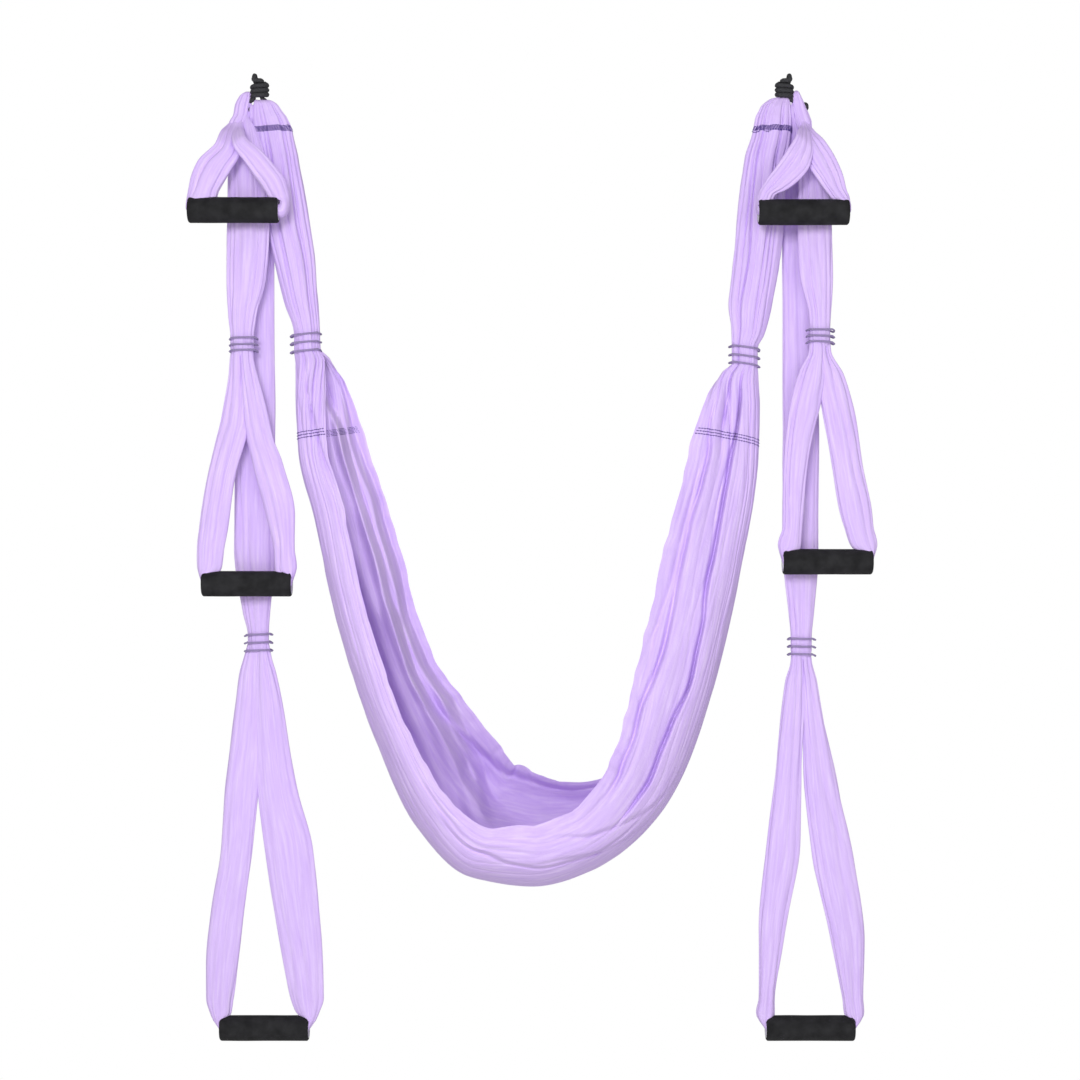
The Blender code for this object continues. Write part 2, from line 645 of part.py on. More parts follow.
def hammock_channel(side):
    """The hammock's end gathered on the rope: sewn channel and bunch, down to below the gather."""
    centre = -(CHANNEL_START + CHANNEL_WIDTH / 2)
    gather_drop = HAMMOCK_GATHER_DROP[side]
    gather_out = -HAMMOCK_GATHER_IN[side]
    top_ring = gather_drop - (GATHER_COUNT - 1) * HAMMOCK_PITCH - GATHER_CORD
    knots = []
    for turn in (80, 45):
        turn = math.radians(turn)
        drop = -RUN_TOP_RADIUS * math.sin(turn)
        knots.append((drop, centre, 0.0, CHANNEL_WIDTH / 2, RUN_TOP_RADIUS * math.cos(turn), 0.0))
    knots.append((0.0, centre, 0.0, CHANNEL_WIDTH / 2, RUN_TOP_RADIUS, 0.0))
    knots.append((CHANNEL_HUG_DROP, centre, 0.0, CHANNEL_WIDTH / 2, CHANNEL_HUG_HALF_DEPTH, 0.1))
    hem = (0.0, CHANNEL_HEM_HALF_WIDTH, CHANNEL_HEM_HALF_DEPTH, PLEAT)
    knots.append((CHANNEL_HEM_DROP, -CHANNEL_HEM_IN, *hem))
    shoulder = (0.0, CHANNEL_SHOULDER_HALF_WIDTH, CHANNEL_SHOULDER_HALF_DEPTH, PLEAT)
    knots.append((CHANNEL_SHOULDER_DROP, -CHANNEL_SHOULDER_IN, *shoulder))
    waist = (0.0, HAMMOCK_SPREAD, CHANNEL_HALF_DEPTH, PLEAT)
    knots.append((CHANNEL_WAIST_DROP, -CHANNEL_WAIST_IN, *waist))
    low = (0.0, HAMMOCK_SPREAD * 0.86, CHANNEL_HALF_DEPTH, PLEAT)
    knots.append((CHANNEL_LOW_DROP, gather_out + CHANNEL_LOW_BACK, *low))
    bundle = (0.0, HAMMOCK_BUNDLE_HALF_WIDTH, HAMMOCK_BUNDLE_HALF_DEPTH, PLEAT)
    knots.append((top_ring, gather_out, *bundle))
    knots.append((gather_drop + GATHER_CORD, gather_out, *bundle))
    drops = [knot[0] for knot in knots[:4]]
    first, last = BUNCH_ROW_START, top_ring - CHANNEL_ROW_END
    drops += [first + (last - first) * i / (CHANNEL_ROWS - 1) for i in range(CHANNEL_ROWS)]
    drops += [knot[0] for knot in knots[-2:]]
    rings = []
    for drop in drops:
        out, y, half_width, half_depth, pleat = smooth_between(knots, drop)
        z = RUN_Z - drop
        edges = (out_to_x(side, out - half_width), z), (out_to_x(side, out + half_width), z)
        rings.append(ring_of(*edges, y, half_depth, pleat, CHANNEL_SIDES))
    channel = loft(f"hammock_channel_{side}", rings, "hammock", cloth_finish)
    drill_for_rope(channel, side)
    gather_x = out_to_x(side, gather_out)
    low_z = RUN_Z - gather_drop
    tilt = HAMMOCK_TILT * -SIDES[side]
    sizes = (HAMMOCK_BUNDLE_HALF_WIDTH, HAMMOCK_BUNDLE_HALF_DEPTH, HAMMOCK_PITCH, tilt)
    gather_rings(f"hammock_gather_{side}", "hammock", gather_x, low_z, 0.0, *sizes)


def main_route():
    """Line of the hammock's lowest cloth, from gather to gather: x, z, and its section there."""
    width = HAMMOCK_BUNDLE_HALF_WIDTH
    bundle = (2 * width, 2 * width, HAMMOCK_BUNDLE_HALF_DEPTH, 0.0)
    left_x = HAMMOCK_GATHER_IN["left"] - width
    right_x = HANG_SPAN - HAMMOCK_GATHER_IN["right"] + width
    left_z = RUN_Z - HAMMOCK_GATHER_DROP["left"] - GATHER_CORD - SEAM_GAP
    right_z = RUN_Z - HAMMOCK_GATHER_DROP["right"] - GATHER_CORD - SEAM_GAP
    route = [(left_x, left_z, *bundle)]
    bulges = list(LEFT_BULGES)
    for place, fall, *section in TROUGH_LEFT:
        x = left_x + bulges.pop(0) if place is None else place * HANG_SPAN
        route.append((x, left_z - (SEAT_LOW + left_z) * fall, *section))
    place, _, *section = TROUGH_LOW
    route.append((place * HANG_SPAN, -SEAT_LOW, *section))
    bulges = list(RIGHT_BULGES)
    for place, fall, *section in TROUGH_RIGHT:
        x = right_x + bulges.pop(0) if place is None else place * HANG_SPAN
        route.append((x, right_z - (SEAT_LOW + right_z) * fall, *section))
    route.append((right_x, right_z, *bundle))
    return route


ROUTE = main_route()


def route_knots():
    travelled = [0.0]
    for a, b in zip(ROUTE, ROUTE[1:]):
        travelled.append(travelled[-1] + math.hypot(b[0] - a[0], b[1] - a[1]))
    return [(along, *anchor) for along, anchor in zip(travelled, ROUTE)]


KNOTS = route_knots()
ROUTE_LENGTH = KNOTS[-1][0]
SEAM_LEFT = KNOTS[2][0]
SEAM_RIGHT = ROUTE_LENGTH - KNOTS[-3][0]


def cloth_section(along):
    """Outer and inner points of the trough's U section at a distance along the route."""
    x, z, front, back, half_width, fold = smooth_between(KNOTS, along)
    ahead = smooth_between(KNOTS, min(along + CLOTH, ROUTE_LENGTH))
    behind = smooth_between(KNOTS, max(along - CLOTH, 0.0))
    tangent = Vector((ahead[0] - behind[0], 0, ahead[1] - behind[1])).normalized()
    inwards = Vector((-tangent.z, 0, tangent.x))
    base = Vector((x, 0, z))
    line = []
    for k in range(CLOTH_COLUMNS):
        v = k / (CLOTH_COLUMNS - 1)
        angle = math.pi * v
        wall = front if v < 0.5 else back
        height = wall * (1 - math.sin(angle) ** 0.8)
        y = -half_width * math.cos(angle)
        line.append((height, y))
    folded = []
    for k, (height, y) in enumerate(line):
        v = k / (CLOTH_COLUMNS - 1)
        before = line[max(k - 1, 0)]
        after = line[min(k + 1, CLOTH_COLUMNS - 1)]
        side = Vector((after[1] - before[1], before[0] - after[0])).normalized()
        fade = min(max((v - FOLD_START) / FOLD_FADE, 0.0), 1.0)
        wave = 2 * math.pi * FOLD_COUNT * (v - FOLD_START) / (1 - FOLD_START)
        push = FOLD_DEPTH * fold * fade * (0.5 - 0.5 * math.cos(wave))
        height += push * side.x
        y += push * side.y
        folded.append((height, y))
    outer = []
    inner = []
    for k, (height, y) in enumerate(folded):
        before = folded[max(k - 1, 0)]
        after = folded[min(k + 1, CLOTH_COLUMNS - 1)]
        side = Vector((after[1] - before[1], before[0] - after[0])).normalized()
        outer.append(base + inwards * height + Vector((0, y, 0)))
        inner.append(base + inwards * (height + CLOTH * side.x) + Vector((0, y + CLOTH * side.y, 0)))
    return outer + inner[::-1]


def cloth_panel(name, start, end, rows):
    """A panel of the hammock between two distances along the route."""
    rings = [cloth_section(start + (end - start) * i / (rows - 1)) for i in range(rows)]
    return loft(name, rings, "hammock", cloth_finish, capped_as_strip=True)


def rope_hole(side):
    """Cutter for the straight run of one rope."""
    middle = out_to_x(side, (RUN_OUTER - RUN_INNER) / 2)
    length = RUN_OUTER + RUN_INNER + 2 * SLOT_GAP
    place = (middle, 0, RUN_Z)
    turn = (0, math.pi / 2, 0)
    bpy.ops.mesh.primitive_cylinder_add(
        vertices=12, radius=RUN_HOLE_RADIUS, depth=length, location=place, rotation=turn
    )
    cutter = bpy.context.object
    cutter.name = "rope_hole_" + side
    cutter.hide_render = True
    cutter.display_type = "WIRE"
    for collection in list(cutter.users_collection):
        collection.objects.unlink(cutter)
    cutters.objects.link(cutter)


def build_side(side):
    """Everything that hangs on one rope beside the hammock's own panels."""
    run = (hang_x(side), 0, RUN_Z)
    rope_hole(side)
    build_rope(side)
    hammock_channel(side)

    body(f"middle_strap_{side}", run, "hammock")
    waist = slot_centre(1) * 0.3 + MIDDLE_GATHER_OUT[side] * 0.7
    middle = (MIDDLE_GATHER_OUT[side], MIDDLE_GATHER_DROP[side], MIDDLE_FORWARD, MIDDLE_SPREAD[side])
    upper_strap("middle", side, 1, *middle, waist, MIDDLE_BUNCH_ROWS)

    body(f"long_strap_{side}", run, "hammock")
    long = (LONG_GATHER_OUT[side], LONG_GATHER_DROP[side], -LONG_BACK, LONG_SPREAD[side])
    upper_strap("long", side, 0, *long, LONG_WAIST_OUT[side], LONG_BUNCH_ROWS)

    body(f"short_strap_{side}", run, f"middle_strap_{side}")
    short_x = out_to_x(side, SHORT_OUT[side])
    short_grip = Vector((short_x, -SHORT_FORWARD, RUN_Z - SHORT_DROP[side]))
    short_loop(side, short_grip)
    build_grip("short", side, short_grip, f"short_strap_{side}")

    flex = GATHER_TAIL + FLEX_GAP + FLEX_RADIUS
    for kind, gather_out, gather_drop, out, drop, y, foot, bow, rows in (
        (
            "middle", MIDDLE_GATHER_OUT, MIDDLE_GATHER_DROP, MIDDLE_OUT, MIDDLE_DROP,
            -MIDDLE_FORWARD, MIDDLE_FOOT, MIDDLE_BOW, MIDDLE_LEG_ROWS,
        ),
        (
            "long", LONG_GATHER_OUT, LONG_GATHER_DROP, LONG_OUT, LONG_DROP,
            LONG_BACK, LONG_FOOT, LONG_BOW, LONG_LEG_ROWS,
        ),
    ):
        top = Vector((out_to_x(side, gather_out[side]), y, RUN_Z - gather_drop[side] - flex))
        grip = Vector((out_to_x(side, out[side]), y, RUN_Z - drop[side]))
        body(f"{kind}_loop_{side}", top, f"{kind}_strap_{side}")
        lower_loop(kind, side, top, grip, foot, bow, rows)
        build_grip(kind, side, grip, f"{kind}_loop_{side}")


body("ropes", (0, 0, 0))
body("hammock", (0, 0, RUN_Z), "ropes")
for side in SIDES:
    build_side(side)

half_gap = SEAM_GAP / 2
right_seam = ROUTE_LENGTH - SEAM_RIGHT
cloth_panel("hammock_end_left", 0.0, SEAM_LEFT - half_gap, END_ROWS)
cloth_panel("hammock_seat", SEAM_LEFT + half_gap, right_seam - half_gap, SEAT_ROWS)
cloth_panel("hammock_end_right", right_seam + half_gap, ROUTE_LENGTH, END_ROWS)
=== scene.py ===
"""Looks of the aerial yoga swing: pleated cloth, foam grips, gather cords, ropes, light and camera.

Lengths are in metres in the model's frame: X from the left hanging point to the right one, Y away from
the viewer, Z up, with the origin where a hook bears inside the left rope's eye. Only the tables of
places are in millimetres.
"""

import math

import bpy
import numpy as np
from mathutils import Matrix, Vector


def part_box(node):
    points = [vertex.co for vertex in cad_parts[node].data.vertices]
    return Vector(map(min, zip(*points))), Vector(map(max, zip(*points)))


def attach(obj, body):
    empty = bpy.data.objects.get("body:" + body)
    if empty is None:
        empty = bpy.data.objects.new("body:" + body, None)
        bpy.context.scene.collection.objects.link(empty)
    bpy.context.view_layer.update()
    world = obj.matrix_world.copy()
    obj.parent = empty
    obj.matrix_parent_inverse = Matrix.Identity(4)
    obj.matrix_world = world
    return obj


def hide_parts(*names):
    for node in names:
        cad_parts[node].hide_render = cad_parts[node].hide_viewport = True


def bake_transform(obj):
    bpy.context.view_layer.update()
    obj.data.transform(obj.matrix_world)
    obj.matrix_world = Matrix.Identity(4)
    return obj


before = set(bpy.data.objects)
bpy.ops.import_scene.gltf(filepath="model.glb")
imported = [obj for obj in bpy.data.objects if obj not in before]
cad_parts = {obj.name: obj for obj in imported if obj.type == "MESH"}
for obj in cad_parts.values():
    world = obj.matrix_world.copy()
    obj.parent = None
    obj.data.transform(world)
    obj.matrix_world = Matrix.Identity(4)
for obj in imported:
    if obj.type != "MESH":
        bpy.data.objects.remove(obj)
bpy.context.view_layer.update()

CAMERA = np.array((0.4163, -3.3, -0.6745))
VIEW_WIDTH = 1.5768
RUN_Z = -0.0460
SPAN = 0.780
SIDES = {"left": -1, "right": 1}
FOAM_RADIUS, FOAM_BORE, FOAM_SKIN = 0.0185, 0.0148, 0.017
CORE_RADIUS, CORE_BORE = 0.0145, 0.0125
GRIP_HALF = 0.065


# Curves and noise


def in_metres(table):
    """A table of millimetres as an array of metres."""
    return np.array(table, float) * 0.001


def distances(line):
    """Distance travelled along a line at each of its points."""
    return np.r_[0, np.cumsum(np.linalg.norm(np.diff(line, axis=0), axis=1))]


def unit(vectors):
    return vectors / np.maximum(np.linalg.norm(vectors, axis=-1, keepdims=True), 1e-9)


def points_at(line, length, want):
    """Points of a line at the wanted distances along it."""
    return np.stack([np.interp(want, length, column) for column in line.T], 1)


def pchip(knots, at):
    """Smooth curve without overshoot through rows of (place, values...), read at many places."""
    knots = np.array(knots, float)
    x, y = knots[:, 0], knots[:, 1:]
    step = np.diff(x)[:, None]
    slope = np.diff(y, axis=0) / step
    tangent = np.zeros_like(y)
    tangent[0], tangent[-1] = slope[0], slope[-1]
    a, b = slope[:-1], slope[1:]
    wa, wb = 2 * step[1:] + step[:-1], step[1:] + 2 * step[:-1]
    same = a * b > 0
    safe_a, safe_b = np.where(same, a, 1), np.where(same, b, 1)
    tangent[1:-1] = np.where(same, (wa + wb) / (wa / safe_a + wb / safe_b), 0)
    at = np.clip(np.asarray(at, float), x[0], x[-1])
    i = np.clip(np.searchsorted(x, at, side="right") - 1, 0, len(x) - 2)
    h = step[i]
    t = ((at - x[i])[..., None]) / h
    first = (1 + 2 * t) * (1 - t) ** 2 * y[i] + t * (1 - t) ** 2 * h * tangent[i]
    return first + t * t * (3 - 2 * t) * y[i + 1] + t * t * (t - 1) * h * tangent[i + 1]


def smooth_line(points, count):
    """Points at even steps along a smooth curve through the given ones (Catmull-Rom)."""
    points = np.array(points, float)
    padded = np.vstack([2 * points[0] - points[1], points, 2 * points[-1] - points[-2]])
    t = np.linspace(0, 1, 12, endpoint=False)[:, None]
    line = []
    for i in range(len(points) - 1):
        p0, p1, p2, p3 = padded[i : i + 4]
        bend = (2 * p0 - 5 * p1 + 4 * p2 - p3) * t**2 + (3 * p1 - p0 - 3 * p2 + p3) * t**3
        line.append(0.5 * (2 * p1 + (p2 - p0) * t + bend))
    line = np.vstack(line + [points[-1:]])
    length = distances(line)
    return points_at(line, length, np.linspace(0, length[-1], count))


def smoothed(values, kernel):
    """Values averaged over their neighbours with the kernel's weights."""
    return np.convolve(np.pad(values, len(kernel) // 2, mode="edge"), kernel / kernel.sum(), "valid")


def lumps(u, v, seed, u_size, v_size, wrap=64):
    """Seeded smooth noise from -1 to 1 over a sheet, with lumps of the given sizes in metres."""
    grid = np.random.default_rng(seed).uniform(-1, 1, (256, 64))
    x, y = np.asarray(u) / u_size + 1000, np.asarray(v) / v_size + 1000
    xi, yi = np.floor(x).astype(int), np.floor(y).astype(int)
    fx, fy = x - xi, y - yi
    fx, fy = fx * fx * (3 - 2 * fx), fy * fy * (3 - 2 * fy)
    a = grid[xi % 256, yi % wrap] * (1 - fy) + grid[xi % 256, (yi + 1) % wrap] * fy
    b = grid[(xi + 1) % 256, yi % wrap] * (1 - fy) + grid[(xi + 1) % 256, (yi + 1) % wrap] * fy
    return a * (1 - fx) + b * fx


def wobble(at, seed, size, lane=0.0):
    """Seeded smooth noise from -1 to 1 along a line; each lane of a seed has its own."""
    return lumps(at, 0 * at + lane, seed, size, 1)


def ramp(x, low, high):
    t = np.clip((np.asarray(x, float) - low) / (high - low), 0, 1)
    return t * t * (3 - 2 * t)


def grooves(around, along, seed, count, width, closed=True):
    """Folds of gathered cloth, from -1.25 to 0: sharp valleys at uneven places that wander and fade."""
    rng = np.random.default_rng(seed)
    places = (np.arange(count) + rng.uniform(-0.32, 0.32, count)) / count
    depths = rng.uniform(0.35, 1.0, count)
    widths = width * rng.uniform(0.6, 1.5, count)
    total = np.zeros(np.broadcast(around, along).shape)
    for i in range(count):
        apart = around - places[i] - (0.30 / count) * wobble(along, seed + 1, 0.09, 3.7 * i)
        if closed:
            apart = apart - np.round(apart)
        depth = depths[i] * (0.68 + 0.32 * wobble(along, seed + 2, 0.11, 5.1 * i))
        total -= depth * np.exp(-((np.abs(apart) / widths[i]) ** 1.15))
    return np.maximum(total, -1.25)


# Meshes and what the frame is told about each piece


def new_object(name, data, material=None):
    obj = bpy.data.objects.new(name, data)
    bpy.context.scene.collection.objects.link(obj)
    if material:
        data.materials.append(material)
    return obj


def hand_over(obj, body, slot, *nodes):
    """The body that a piece rides on, its material slot, which is not used, and the nodes that it replaces.
    """
    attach(obj, body)
    if nodes:
        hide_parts(*nodes)


def grid_mesh(name, points, uv, material, closed=False):
    """Mesh of a grid of points, rows along the cloth; closed joins the last column to the first."""
    rows, columns = points.shape[:2]
    index = np.arange(rows * columns).reshape(rows, columns)
    right = np.roll(index, -1, axis=1)
    last = columns if closed else columns - 1
    faces = np.stack([index[:-1, :last], index[1:, :last], right[1:, :last], right[:-1, :last]], -1)
    faces = faces.reshape(-1, 4)
    mesh = bpy.data.meshes.new(name)
    mesh.from_pydata(points.reshape(-1, 3).tolist(), [], faces.tolist())
    right_uv = np.roll(uv, -1, axis=1)
    if closed:
        right_uv[:, -1, 1] = 2 * uv[:, -1, 1] - uv[:, -2, 1]
    corners = [uv[:-1, :last], uv[1:, :last], right_uv[1:, :last], right_uv[:-1, :last]]
    flat = np.stack(corners, 2).reshape(-1).astype(np.float32)
    mesh.uv_layers.new(name="uv").data.foreach_set("uv", flat)
    mesh.polygons.foreach_set("use_smooth", np.ones(len(faces), bool))
    mesh.update()
    return new_object(name, mesh, material)


def grid_uv(points):
    """Distances along and across a grid, in metres, with the same columns across at every row."""
    across = np.r_[0, np.cumsum(np.linalg.norm(np.diff(points, axis=1), axis=2).mean(0))]
    return np.stack(np.meshgrid(distances(points.mean(1)), across, indexing="ij"), -1)


def sweep(line, radius, sides, closed=False, twist=None):
    """Grid round a line; twist(s, angle) gives a factor on the radius at each point."""
    line = np.array(line, float)
    ahead = np.roll(line, -1, axis=0) - np.roll(line, 1, axis=0) if closed else np.gradient(line, axis=0)
    tangent = unit(ahead)
    side = np.cross(tangent[0], (0.0, 1.0, 0.0))
    if np.linalg.norm(side) < 0.1:
        side = np.cross(tangent[0], (1.0, 0.0, 0.0))
    length = distances(line)
    angle = 2 * np.pi * np.arange(sides) / sides
    rings = []
    for p, t, s in zip(line, tangent, length):
        side = unit(side - t * (side @ t))
        r = radius * (twist(s, angle) if twist else np.ones(sides))
        rings.append(p + np.outer(np.cos(angle) * r, side) + np.outer(np.sin(angle) * r, np.cross(t, side)))
    return np.array(rings), np.stack(np.meshgrid(length, angle * radius, indexing="ij"), -1)


def cord_piece(name, line, radius, sides, material, closed=False, twist=None):
    grid, uv = sweep(line, radius, sides, closed, twist)
    if closed:
        grid = np.concatenate([grid, grid[:1]])
        uv = np.concatenate([uv, uv[-1:] + (uv[1, 0] - uv[0, 0])])
    return grid_mesh(name, grid, uv, material, closed=True)


# Materials


def add_node(tree, kind, linked=(), **constants):
    """New node with other nodes' outputs linked to its named sockets, and constants on others."""
    node = tree.nodes.new(kind)
    for name, output in dict(linked).items():
        tree.links.new(output, node.inputs[name])
    for name, value in constants.items():
        node.inputs[name].default_value = value
    return node


class Look:
    """A principled material, with the procedural nodes that shade it."""

    def __init__(self, name, colour, roughness, specular=0.5):
        self.material = bpy.data.materials.new(name)
        self.material.use_nodes = True
        self.tree = self.material.node_tree
        self.sockets = self.tree.nodes["Principled BSDF"].inputs
        self.sockets["Base Color"].default_value = (*colour, 1)
        self.sockets["Roughness"].default_value = roughness
        self.sockets["Specular IOR Level"].default_value = specular

    def noise(self, vector, scale, detail, roughness, distortion=0.0):
        shape = {"Scale": scale, "Detail": detail, "Roughness": roughness, "Distortion": distortion}
        return add_node(self.tree, "ShaderNodeTexNoise", {"Vector": vector}, **shape).outputs["Fac"]

    def noise_along(self, stretch, detail, roughness, distortion=0.0):
        """Noise over the piece's uv map, with its own number of lumps a metre along and across."""
        uv = add_node(self.tree, "ShaderNodeUVMap")
        uv.uv_map = "uv"
        linked = {"Vector": uv.outputs["UV"]}
        mapping = add_node(self.tree, "ShaderNodeMapping", linked, Scale=(*stretch, 1))
        return self.noise(mapping.outputs["Vector"], 1.0, detail, roughness, distortion)

    def noise_in_place(self, scale, detail=2.0, roughness=0.5):
        """Noise in the piece's own space."""
        place = add_node(self.tree, "ShaderNodeTexCoord").outputs["Object"]
        return self.noise(place, scale, detail, roughness)

    def tint(self, fac, *stops):
        """Base colour that follows a noise through stops of (place, colour)."""
        node = add_node(self.tree, "ShaderNodeValToRGB", {"Fac": fac})
        elements = node.color_ramp.elements
        for element, (place, colour) in zip(elements, (stops[0], stops[-1])):
            element.position, element.color = place, (*colour, 1)
        for place, colour in stops[1:-1]:
            elements.new(place).color = (*colour, 1)
        self.tree.links.new(node.outputs["Color"], self.sockets["Base Color"])

    def bump(self, *layers):
        """Normal with one bump on another: layers of (height, strength, distance)."""
        linked = {}
        for height, strength, distance in layers:
            linked["Height"] = height
            node = add_node(self.tree, "ShaderNodeBump", linked, Strength=strength, Distance=distance)
            linked["Normal"] = node.outputs["Normal"]
        self.tree.links.new(linked["Normal"], self.sockets["Normal"])


def cloth_material():
    """Thin satin nylon with fine crinkles that run along the cloth."""
    look = Look("lilac_nylon", (0.66, 0.50, 0.92), 0.60, 0.12)
    fine = look.noise_along((14, 330), 3.0, 0.6, 0.3)
    broad = look.noise_along((7, 70), 3.0, 0.55, 0.6)
    crush = look.noise_along((55, 120), 4.0, 0.6, 1.2)
    look.tint(fine, (0.30, (0.61, 0.44, 0.86)), (0.52, (0.665, 0.5, 0.885)), (0.72, (0.728, 0.58, 0.912)))
    look.bump((broad, 0.35, 0.0014), (crush, 0.55, 0.0010), (fine, 0.45, 0.0005))
    look.sockets["Sheen Weight"].default_value = 0.03
    look.sockets["Sheen Roughness"].default_value = 0.5
    return look.material


def foam_material():
    """Black foam with fine closed pores and a dull skin."""
    look = Look("grip_foam", (0.014, 0.014, 0.015), 0.82, 0.22)
    look.tint(look.noise_in_place(60, 3.0), (0.3, (0.008, 0.008, 0.009)), (0.7, (0.022, 0.022, 0.024)))
    look.bump((look.noise_in_place(900, 3.0, 0.6), 0.5, 0.0004))
    return look.material


def core_material():
    """Pale plastic tube with a soft moulded grain."""
    look = Look("core_plastic", (0.60, 0.60, 0.63), 0.42)
    grain = look.noise_in_place(400)
    look.tint(grain, (0.3, (0.55, 0.55, 0.58)), (0.7, (0.64, 0.64, 0.67)))
    look.bump((grain, 0.2, 0.0003))
    return look.material


def cord_material(name, dark, light, roughness):
    """Twisted or braided thread: shades of its fibres, and a fibre bump."""
    look = Look(name, dark, roughness, 0.35)
    fibre = look.noise_along((500, 1600), 3.0, 0.6)
    look.tint(fibre, (0.35, dark), (0.65, light))
    look.bump((fibre, 0.5, 0.0003))
    return look.material


CLOTH = cloth_material()
FOAM = foam_material()
CORE = core_material()
GATHER = cord_material("gather_cord_grey", (0.20, 0.15, 0.31), (0.36, 0.29, 0.50), 0.55)
THREAD = cord_material("seam_thread", (0.050, 0.018, 0.20), (0.11, 0.055, 0.34), 0.6)
ROPE_BLACK = cord_material("rope_black", (0.010, 0.010, 0.012), (0.050, 0.050, 0.056), 0.75)


# Hammock

# Stations from the left rope to the right one, in millimetres. Where the cloth is a closed bunch they
# are the outer line's x and z, the width, the half depth and the height of the pleats.
BUNCH_LEFT = [
    (-0.5, -32.2, 18, 1, 0.4), (-0.5, -34, 24.5, 5.2, 1),
    (-0.5, -38, 31, 8, 1.8), (-0.5, -43, 35, 9.2, 2.6),
    (-0.5, -49, 38.5, 10, 3), (0, -60, 45, 11.5, 4.4),
    (2, -78, 50, 13.5, 4.6), (10, -121, 48.5, 15.5, 7.4),
    (20, -211, 55, 16, 6.8), (29.5, -260, 53.5, 15.5, 6.4),
    (45.5, -324, 43, 13.5, 5), (60, -376, 33, 10.2, 2.6),
    (60.5, -401, 33.5, 10.2, 2.6),
]

# Between the gathers: the outer line's x and z, the front wall, the back wall, the half depth, the pleats
TROUGH = [
    (64, -417, 38, 43, 15, 4.6), (64, -456.7, 41, 70, 24, 4.4),
    (66, -542, 43, 94.5, 34, 3), (88, -642.8, 49, 104.5, 52, 1.6),
    (115.5, -766.9, 49, 109, 78, 1), (143.1, -864, 51.5, 109.5, 95, 0.9),
    (177, -960.8, 56, 130, 112, 0.8), (240, -1092.7, 74, 156, 136, 0.7),
    (312, -1163.5, 95, 160, 148, 0.6), (405.6, -1178, 105.6, 151, 150, 0.6),
    (499.2, -1151, 105, 121, 144, 0.6), (603.5, -1056, 111, 74, 118, 0.7),
    (666.5, -898.1, 120, 100, 86, 0.9), (707.5, -724, 119, 98, 58, 1.4),
    (732.5, -557.6, 101.5, 88, 34, 3), (734.5, -475, 77, 68, 24, 4.4),
    (732.5, -436, 50.5, 48, 15, 4.6),
]

BUNCH_RIGHT = [
    (732.5, -420, 35, 10.2, 2.6), (732.5, -395, 35, 10.2, 2.6),
    (741, -374, 43, 12.5, 4.4), (751, -328.5, 55, 15, 6),
    (764, -236.5, 56, 16, 6.8), (772, -121, 51, 15.5, 7.4),
    (780, -78, 50, 13.5, 4.6), (781.2, -60, 48, 11.5, 4.4),
    (781.2, -49, 44, 10, 3), (781.2, -43, 41.5, 9.2, 2.6),
    (781.2, -38.5, 38, 8, 1.8), (781.2, -34.5, 33.5, 6.6, 1.2),
    (781.2, -30.5, 27, 4.6, 0.8), (781.2, -28.5, 19, 1, 0.4),
]

# The three stations under each gather: how far the section is closed, and the share of the folds' height
NECK_SHARES = [(0.85, 0.5), (0.35, 0.8), (0.0, 0.95)]
ROWS, COLUMNS = 430, 360
# Rows lie closer together over the ropes, where the cloth's top is small and round
ROPE_ROWS, NEAR_ROPE = 30, 0.05
# Rows over which the outer line's direction is averaged; down to the first drop the rows are level
TANGENT_ROWS, LEVEL_DROPS = 91, (0.085, 0.150)

# Folds as they are seen from the front, in millimetres: the arm of the U that they lie on, the height
# (below 0 is a valley), the widths on the outer line's side and on the rim's side, the depth of the
# crease at the foot of the steep side, and the line on the hanging plane.
HAMMOCK_FOLDS = [
    ("back", (42, 34, 6, 5), [(86, -420), (96, -445), (124, -521), (138, -584), (163, -670),
        (183, -735)]),
    ("back", (48, 24, 6, 5), [(183, -735), (203, -818), (221, -866), (259, -937), (286, -1000),
        (323, -1053), (349, -1096)]),
    ("back", (30.5, 16, 6, 4), [(125, -470), (144, -547), (169, -625), (189, -695), (210, -781),
        (238, -853)]),
    ("back", (36, 18, 6, 4), [(238, -853), (264, -891), (286, -948), (313, -1005), (335, -1053),
        (358, -1086)]),
    ("back", (10, 3.4, 16, 5), [(267, -889), (289, -934), (320, -968), (349, -993), (388, -1013),
        (428, -1025), (500, -1035)]),
    ("back", (-26, 30, 12, 0), [(292, -975), (325, -1010), (365, -1037), (420, -1052), (500, -1055)]),
    ("back", (5, 6, 18, 0), [(340, -1050), (390, -1068), (440, -1080), (500, -1070)]),
    ("front", (-8, 2.4, 12, 8), [(668, -500), (663, -521), (646, -610), (629, -679), (609, -772),
        (586, -866), (556, -936), (523, -1034)]),
    ("front", (-4, 2.4, 8, 3), [(660, -520), (640, -600), (618, -690), (596, -780), (575, -850)]),
    ("front", (-13, 2.4, 18, 13), [(712, -450), (700, -530), (685, -600), (673, -679), (654, -768),
        (646, -834), (632, -889), (599, -964), (580, -1006), (552, -1066)]),
    ("front", (6, 2.6, 20, 4), [(454, -1094), (516, -1101), (552, -1070), (608, -1041)]),
    ("front", (6, 2.6, 20, 3), [(445, -1136), (539, -1117), (603, -1047)]),
    ("front", (9, 2.6, 28, 4), [(300, -1110), (330, -1128), (362, -1136), (432, -1152), (533, -1113)]),
    ("front", (4, 3, 18, 2), [(250, -1030), (290, -1085), (330, -1115), (380, -1125)]),
    ("front", (-6, 8, 2.5, 6), [(70, -425), (86, -485), (94, -520), (106, -560)]),
    ("front", (-4, 8, 2.5, 3), [(60, -425), (70, -480), (78, -540)]),
    ("front", (-8, 2.5, 8, 6), [(700, -430), (690, -480), (676, -530)]),
]

